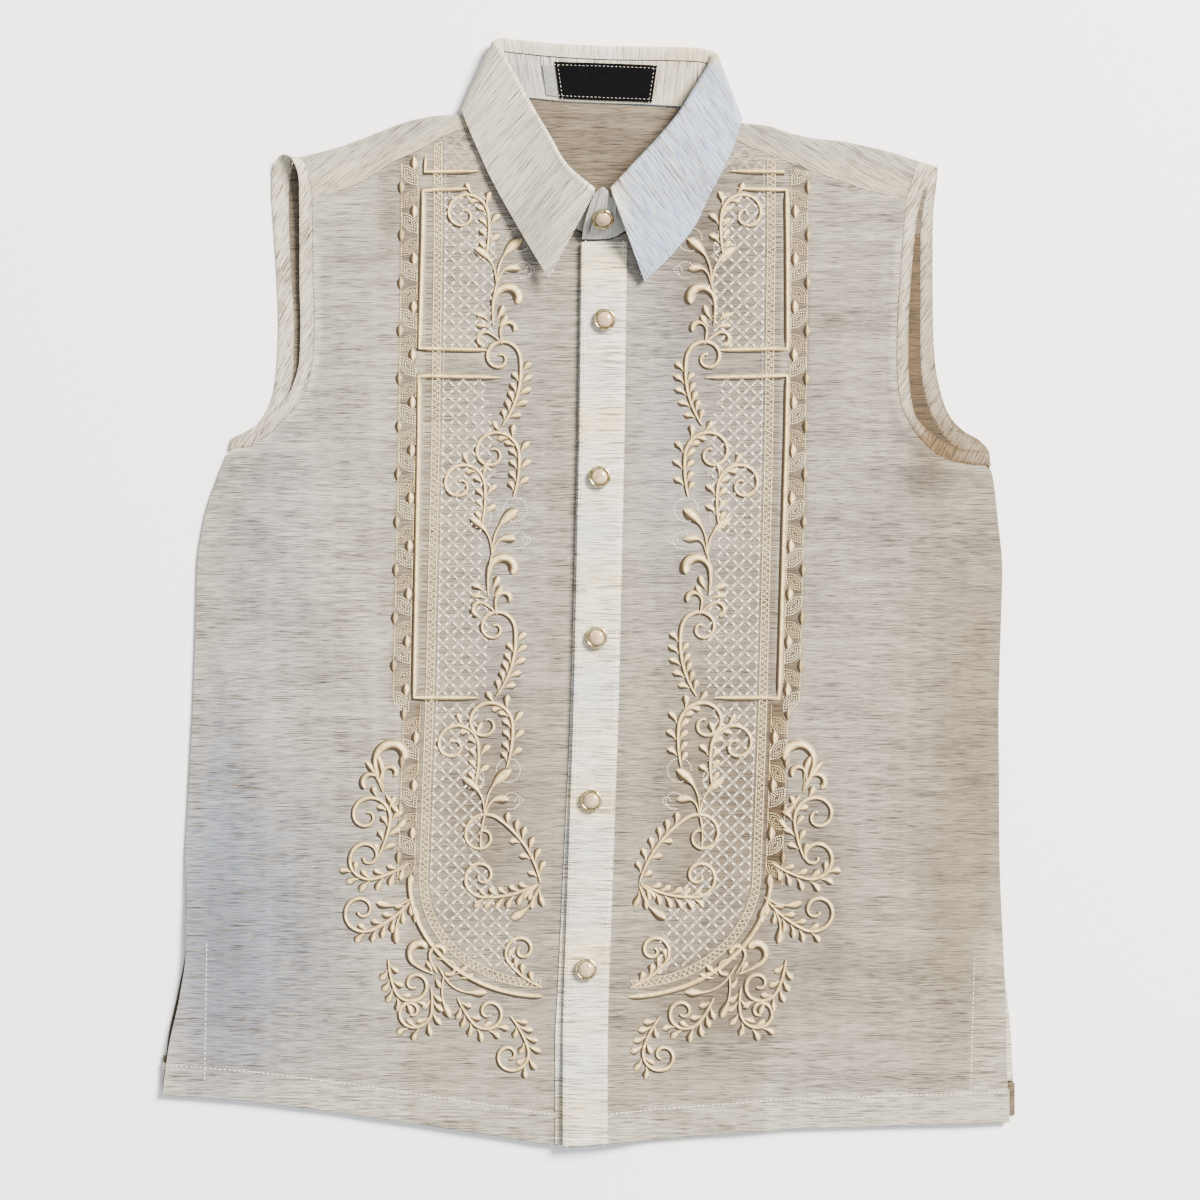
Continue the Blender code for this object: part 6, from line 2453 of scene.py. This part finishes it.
    def in_lattice(self, points: Array) -> Array:
        """Which points the lattice covers.

        Args:
            points: Rows of out and up.

        Returns:
            True for each one that is covered.
        """
        a, y = points[:, 0], points[:, 1]
        outer = a < self.chain_at - 3.5
        foot = smooth((-150.0 - y) / 50.0)
        inner = a > 67.0 + 4.0 * np.sin(y / 17.0) - 24.0 * foot
        fields = (y > 256) | ((y < 242) & (y > 149)) | ((y < 129) & (y > -61)) | (y < -66)
        drop = (a - self.arc_centre[0]) / (self.chain_at - 30.0)
        floor = self.arc_centre[1] - 60.0 * np.sqrt(np.clip(1 - drop * drop, 0, 1))
        return outer & inner & fields & (y > floor) & (y < self.top)

    def lattice_lines(self) -> list[Array]:
        """Diagonal threads both ways over the lattice's fields.

        Returns:
            The lines, in pairs.
        """
        out = []
        reach = np.arange(-340.0, 340.0, 1.0)
        for slope in (1, -1):
            for offset in np.arange(-380.0, 460.0, self.lattice_pitch * 2**0.5):
                line = joined(70 + slope * reach, offset + reach)
                for run in runs(self.in_lattice(line)):
                    if len(line[run]) > 2:
                        out += [moved_aside(line[run], 0.5), moved_aside(line[run], -0.5)]
        return out

    def knot_lines(self) -> list[Array]:
        """A short bar over each link of the lattice's threads.

        Returns:
            The bars.
        """
        half = self.lattice_pitch * 2**-0.5
        rows = np.arange(-52, 80)
        columns = np.arange(-10, 10)
        a, y = np.meshgrid(70 + half * columns, half * rows - 380 + half * 56, indexing="ij")
        odd = (columns[:, None] + rows[None]) % 2 == 0
        places = joined(a[odd], y[odd])
        out = []
        for slope, reach in ((1, 0.5), (-1, 0.3)):
            links = places + (half / 2, slope * half / 2)
            bar = np.array([(-reach, -slope * reach), (reach, slope * reach)])
            out += [link + bar for link in links[self.in_lattice(links)]]
        return out

    def loop_lines(self) -> list[Array]:
        """Fine running loops beside each unit's buds.

        Returns:
            The loops.
        """
        angles = np.radians(np.arange(0.0, 300.0, 12.0))
        ring = joined(np.cos(angles), np.sin(angles))
        out = []
        for top in self.unit_tops:
            for a, y, radius in self.loops.rows:
                out.append(np.array([a, top + y]) + radius * ring)
        return out

    # -- onto the cloth

    @staticmethod
    def on_panel(side: Side, line: Array) -> Array:
        """(x, y) of points given as out from the centre front and up."""
        x = centre_front(line[:, 1]) + side.value * line[:, 0]
        return joined(x, line[:, 1])

    @staticmethod
    def clear(side: Side, plan: Array) -> Array:
        """Which points lie on the front, clear of its yoke seam.

        Args:
            side: Which front.
            plan: Rows of x and y.

        Returns:
            True for each one that does.
        """
        seam = YOKE_SEAMS[side]
        seam = seam[np.argsort(seam[:, 0])]
        return plan[:, 1] < np.interp(plan[:, 0], seam[:, 0], seam[:, 1]) - 2.5

    def raised(self, side: Side, strokes: list[Stroke]) -> Shape:
        """The closed half-round solids of some strokes, seated on a front.

        Args:
            side: Which front.
            strokes: The strokes.

        Returns:
            One shape of them all.
        """
        across = np.array([-1.0, -1.0, -0.64, -0.37, 0.0, 0.37, 0.64, 1.0, 1.0])
        dome = np.clip(1 - (across / 0.64) ** 2, 0, 1) + 0.08 * (abs(across) < 0.9)
        foot = np.array([-0.05, *[0.12] * 7, -0.05])  # flat margins beyond 0.64, which carry the painted shadow
        ring = len(across)
        height = LIE.of(side)
        points, uvs, lees, faces, count = [], [], [], [], 0
        for stroke in strokes:
            plan = self.on_panel(side, stroke.line)
            inside = self.clear(side, plan)
            if inside.sum() < 3:
                continue
            plan, half = plan[inside], stroke.half[inside] * 1.2
            crown = stroke.height * np.minimum(1.0, half / 1.1)
            way = unit(np.gradient(plan, axis=0))
            left = joined(-way[:, 1], way[:, 0])
            at = plan[:, None] + half[:, None, None] * across[:, None] * left[:, None]
            z = height(at[..., 0], at[..., 1]) + CLOTH / 2 + foot + crown[:, None] * dome
            points.append(np.concatenate([at, z[..., None]], axis=-1).reshape(-1, 3))
            along = lengths_along(plan)[:, None]
            uvs.append(joined(*np.broadcast_arrays(along, across * 1000)).reshape(-1, 2))
            # Share of painted shade at each point: how far it lies on the stroke's side away from
            # the key light.
            lee = across * (left @ SHADOW_SIDE_WAY)[:, None]
            lees.append(np.repeat(0.5 + 0.5 * lee.reshape(-1, 1), 4, axis=1))
            rows = count + ring * np.arange(len(plan) - 1)[:, None]
            k = np.arange(ring)
            a, b = rows + k, rows + (k + 1) % ring
            faces += joined(a, a + ring, b + ring, b).reshape(-1, 4).tolist()
            end = count + ring * (len(plan) - 1)
            faces += [tuple(range(count, count + ring)), tuple(range(end + ring - 1, end - 1, -1))]
            count += ring * len(plan)
        return Shape(np.vstack(points), faces, np.vstack(uvs), np.vstack(lees))

    def threads(self, side: Side, lines: list[Array], lift: float) -> list[Array]:
        """Lines of the panel seated on a front, cut where they would leave it.

        Args:
            side: Which front.
            lines: Lines as out and up.
            lift: How far over the cloth's face.

        Returns:
            The lines on the cloth.
        """
        out = []
        for line in lines:
            plan = self.on_panel(side, line)
            out += [on_front(side, plan[run], lift) for run in runs(self.clear(side, plan))]
        return out

    def build(self, side: Side, sewing: Sewing) -> list[Object]:
        """Embroiders one front.

        Args:
            side: Which front.
            sewing: The machine for its fine stitches.

        Returns:
            The pieces of embroidery.
        """
        word = side.word
        band = self.leaf_rings(False) + self.band_edges()
        lattice = self.lattice_lines() + self.dotted_line()
        out = []
        for name, strokes, thread in (
            ("vine", self.vine(), SATIN),
            ("cords", self.cords() + self.dots(False), SATIN),
            ("dots", self.dots(True), DARK_SATIN),
        ):
            shape = self.raised(side, strokes)
            out.append(seated(add_mesh(f"{word}_embroidered_{name}", shape, thread), "body_cloth"))
        for name, lines, gauge, thread in (
            ("leaf_band", band, (1.4, 1.3, 0.66), BEAD_THREAD),
            ("bright_leaves", self.leaf_rings(True), (1.35, 1.1, 0.86), PETAL_THREAD),
            ("chain", self.chain_lines(), (1.35, 1.35, 1.0), CHAIN_THREAD),
            ("ticks", self.tick_lines(), (0.7, 1.0, 0.45), TICK_THREAD),
            ("lattice", lattice, (1.2, 1.15, 0.6), GAUZE_THREAD),
            ("knots", self.knot_lines(), (0.9, 1.5, 0.95), PALE_THREAD),
            ("loops", self.loop_lines(), (1.6, 1.3, 0.6), PALE_THREAD),
        ):
            seats = self.threads(side, lines, 0.2)
            out.append(sewing.run(f"{word}_embroidered_{name}", seats, gauge, thread, "body_cloth"))
        return out


# -------- seams and buttonholes


@dataclass
class Seams:
    """The shirt's machine stitching."""

    body: Body
    yoke: Yoke
    bands: ArmholeBands
    sewing: Sewing
    gauge: Triple = (2.9, 2.2, 0.5)
    fine: Triple = (2.4, 1.7, 0.24)
    lift: float = 0.12
    # How far the stitching lies in from each piece's edge.
    placket_inset: float = 2.2
    yoke_inset: float = 1.6
    band_insets: tuple[float, float] = (1.3, 7.0)
    leaf_inset: float = 5.0
    stand_inset: float = 1.4
    label_inset: float = 1.8

    def sewn(self, name: str, lines: list[Array], slot: str, fine: bool = False) -> list[Object]:
        """Sews a seam in the body's stitch, or in the fine one.

        Args:
            name: The seam's name.
            lines: Its lines.
            slot: The record's slot.
            fine: Whether in the fine stitch.

        Returns:
            The stitching.
        """
        gauge, thread = (self.fine, BAND_THREAD) if fine else (self.gauge, SEAM_THREAD)
        return [self.sewing.run(f"{name}_stitching", lines, gauge, thread, slot)]

    def front(self, side: Side) -> list[Object]:
        """The hem, the vent's facing and the armhole of one front.

        Args:
            side: Which front.

        Returns:
            The stitching.
        """
        ys = np.linspace(HEM_CORNER, VENTS[side][1], 40)
        inner_x, inner_y, low_x, _ = VENTS[side]
        vent = joined(np.interp(ys, (HEM_CORNER, inner_y), (low_x, inner_x)), ys)
        outer = float(edge_x(side, False, HEM_CORNER))
        inner = float(centre_front(-320.0)) + side.value * 16.0
        xs = np.linspace(outer - side.value * 3.0, inner, 90)
        hem = joined(xs, hem_y(xs) + HEM_DEPTH - 1.4)
        seam = ARMHOLES[side]["front"].grid("seam_x", "seam_y")
        armhole = moved_aside(spline(seam, 5), 3.2 * side.value)[:-4]
        lines = [on_front(side, line, self.lift) for line in (vent[ys > HEM_CORNER + 16], hem)]
        fine = [on_front(side, armhole, 0.0)]
        out = self.sewn(f"{side.word}_front", lines, "body_cloth")
        return out + self.sewn(f"{side.word}_armhole", fine, "body_cloth", True)

    def placket(self, side: Side) -> list[Object]:
        """Both edges of a placket, and the bar above its hem.

        Args:
            side: Which front's.

        Returns:
            The stitching.
        """
        grid = self.body.placket_grid(side)
        lift = 0.35 + self.lift
        lines = [inset_line(grid, self.placket_inset, lift, far) for far in (False, True)]
        name = "placket" if side is Side.LEFT else "under_placket"
        if side is Side.LEFT:
            row = int(np.argmin(abs(grid[:, 0, 1] + 311.0)))
            lines.append(grid[row, 1:-1] + (0, 0, lift))
        return self.sewn(name, lines, "doubled_cloth")

    def yoke_edges(self) -> list[Object]:
        """Beside the front seams, on the yoke.

        Returns:
            The stitching.
        """
        lines = []
        last = self.yoke.grid[self.yoke.rows[8] :]
        for side in Side:
            flap = last[:, (last[0, :, 0] * side.value > 0)]
            lift = CLOTH / 2 + self.lift
            lines.append(inset_line(flap.swapaxes(0, 1), self.yoke_inset, lift, True, True))
        return self.sewn("yoke", lines, "body_cloth")

    def band(self, side: Side) -> list[Object]:
        """Beside the band's seam, all round.

        Args:
            side: The wearer's side.

        Returns:
            The stitching.
        """
        grid = self.bands.grids[side]
        lines = [inset_line(grid, inset, 0.4 + self.lift) for inset in self.band_insets]
        return self.sewn(f"{side.word}_band", lines, "doubled_cloth", True)

    def collar(self, collar: Collar) -> list[Object]:
        """Beside the leaf's edge, and below the roll on the inside of the stand.

        Args:
            collar: The collar, already laid.

        Returns:
            The stitching.
        """
        lift = COLLAR_CLOTH / 2 + self.lift
        lines = [
            inset_line(collar.leaf, self.leaf_inset, lift, far=True),
            inset_line(collar.leaf[SHOULDER_SECTIONS:-SHOULDER_SECTIONS], self.stand_inset, lift),
        ]
        return self.sewn("collar", lines, "collar_cloth")

    def label(self, grid: Array) -> Object:
        """The label's border.

        Args:
            grid: The label's grid.

        Returns:
            The stitching.
        """
        lift = CLOTH / 2 + self.lift
        lines = []
        for edge, turned_over in ((grid, False), (grid.swapaxes(0, 1), True)):
            for far in (False, True):
                lines.append(inset_line(edge, self.label_inset, lift, far, turned_over))
        gauge = (2.4, 1.5, 0.2)
        return self.sewing.run("label_stitching", lines, gauge, SEAM_THREAD, "label_weave")

    def buttonholes(self, buttons: Buttons) -> Object:
        """Upright buttonholes in the placket, of close satin stitches.

        Args:
            buttons: The buttons that they take.

        Returns:
            The stitching.
        """
        grid = self.body.placket_grid(Side.LEFT)
        lines = []
        for x, y, _ in buttons.places.rows:
            row = int(np.argmin(abs(grid[:, 0, 1] - y)))
            top = float(grid[row, :, 2].mean()) + 0.35 + self.lift
            for k in range(34):
                up = y - 6.5 + k * 0.45
                for way in (-1, 1):
                    ends = [(x + way * 0.3, up, top), (x + way * 1.5, up, top)]
                    lines.append(np.array(ends))
        return self.sewing.run("placket_buttonholes", lines, (0.6, 1.0, 0.4), SEAM_THREAD,
                               "doubled_cloth")


# -------- studio


@dataclass
class Studio:
    """Floor, lights and the camera straight over the shirt."""

    span: float = 726.0  # width of the view at the floor, in millimetres
    centre: tuple[float, float] = (7.3, -3.9)
    lens: float = 85.0
    sensor: float = 36.0

    def area(self, name: str, at: Triple, size: float, power: float,
             colour: str) -> None:
        """One soft light that looks at the shirt.

        Args:
            name: Its name.
            at: Where it stands, in metres.
            size: Its width.
            power: Its power, in watts.
            colour: Its colour, as an sRGB hex value.
        """
        data = bpy.data.lights.new(name, "AREA")
        data.shape, data.size, data.energy = "DISK", size, power
        data.color = linear(colour)[:3]
        made = linked(name, data)
        made.location = at
        made.rotation_euler = (-Vector(at)).to_track_quat("-Z", "Y").to_euler()

    def build(self) -> None:
        """Sets the stage."""
        mesh = bpy.data.meshes.new("floor")
        half = 3.0
        corners = [(-half, -half, 0), (half, -half, 0), (half, half, 0), (-half, half, 0)]
        mesh.from_pydata(corners, [], [(0, 1, 2, 3)])
        mesh.materials.append(material(Backdrop()))
        floor = linked("floor", mesh)
        self.area("key_light", (3.0, 2.5, 3.3), 2.0, 1420.0, "#FFF8EE")
        self.area("fill_light", (0.7, -0.9, 2.4), 1.8, 30.0, "#EFF4FF")
        world = bpy.data.worlds.new("studio")
        world.use_nodes = True
        sky = world.node_tree.nodes["Background"]
        sky.inputs[0].default_value = linear("#F4F6FA")
        sky.inputs[1].default_value = 0.72
        bpy.context.scene.world = world
        lens = bpy.data.cameras.new("overhead")
        lens.lens, lens.sensor_width = self.lens, self.sensor
        camera = linked("overhead", lens)
        away = self.span * self.lens / self.sensor
        camera.location = Vector((*self.centre, away)) * MM
        bpy.context.scene.camera = camera


def main() -> None:
    """Builds the shirt, one sub-assembly after another."""
    logging.basicConfig(level=logging.INFO, format="%(message)s")
    Studio().build()
    body, yoke, bands, collar = Body(), Yoke(), ArmholeBands(), Collar()
    sewing, embroidery, buttons = Sewing(), Embroidery(), Buttons()
    seams = Seams(body, yoke, bands, sewing)
    trims = {}
    for side in Side:
        name = f"{side.word}_front"
        trims[name] = seams.front(side) + embroidery.build(side, sewing)
        trims["placket" if side is Side.LEFT else "under_placket"] = seams.placket(side)
    trims["placket"].append(seams.buttonholes(buttons))
    body.build(trims)
    yoke.build(seams.yoke_edges())
    bands.build({side: seams.band(side) for side in Side})
    collar.build(seams.collar(collar))
    seams.label(Tags().build(collar))
    laps = (len(OVER_LAP.neck_x) - 1) * collar.lap_spans + 1
    buttons.build(collar.stand[-laps:], body.placket_grid(Side.LEFT))


if __name__ == "__main__":
    main()
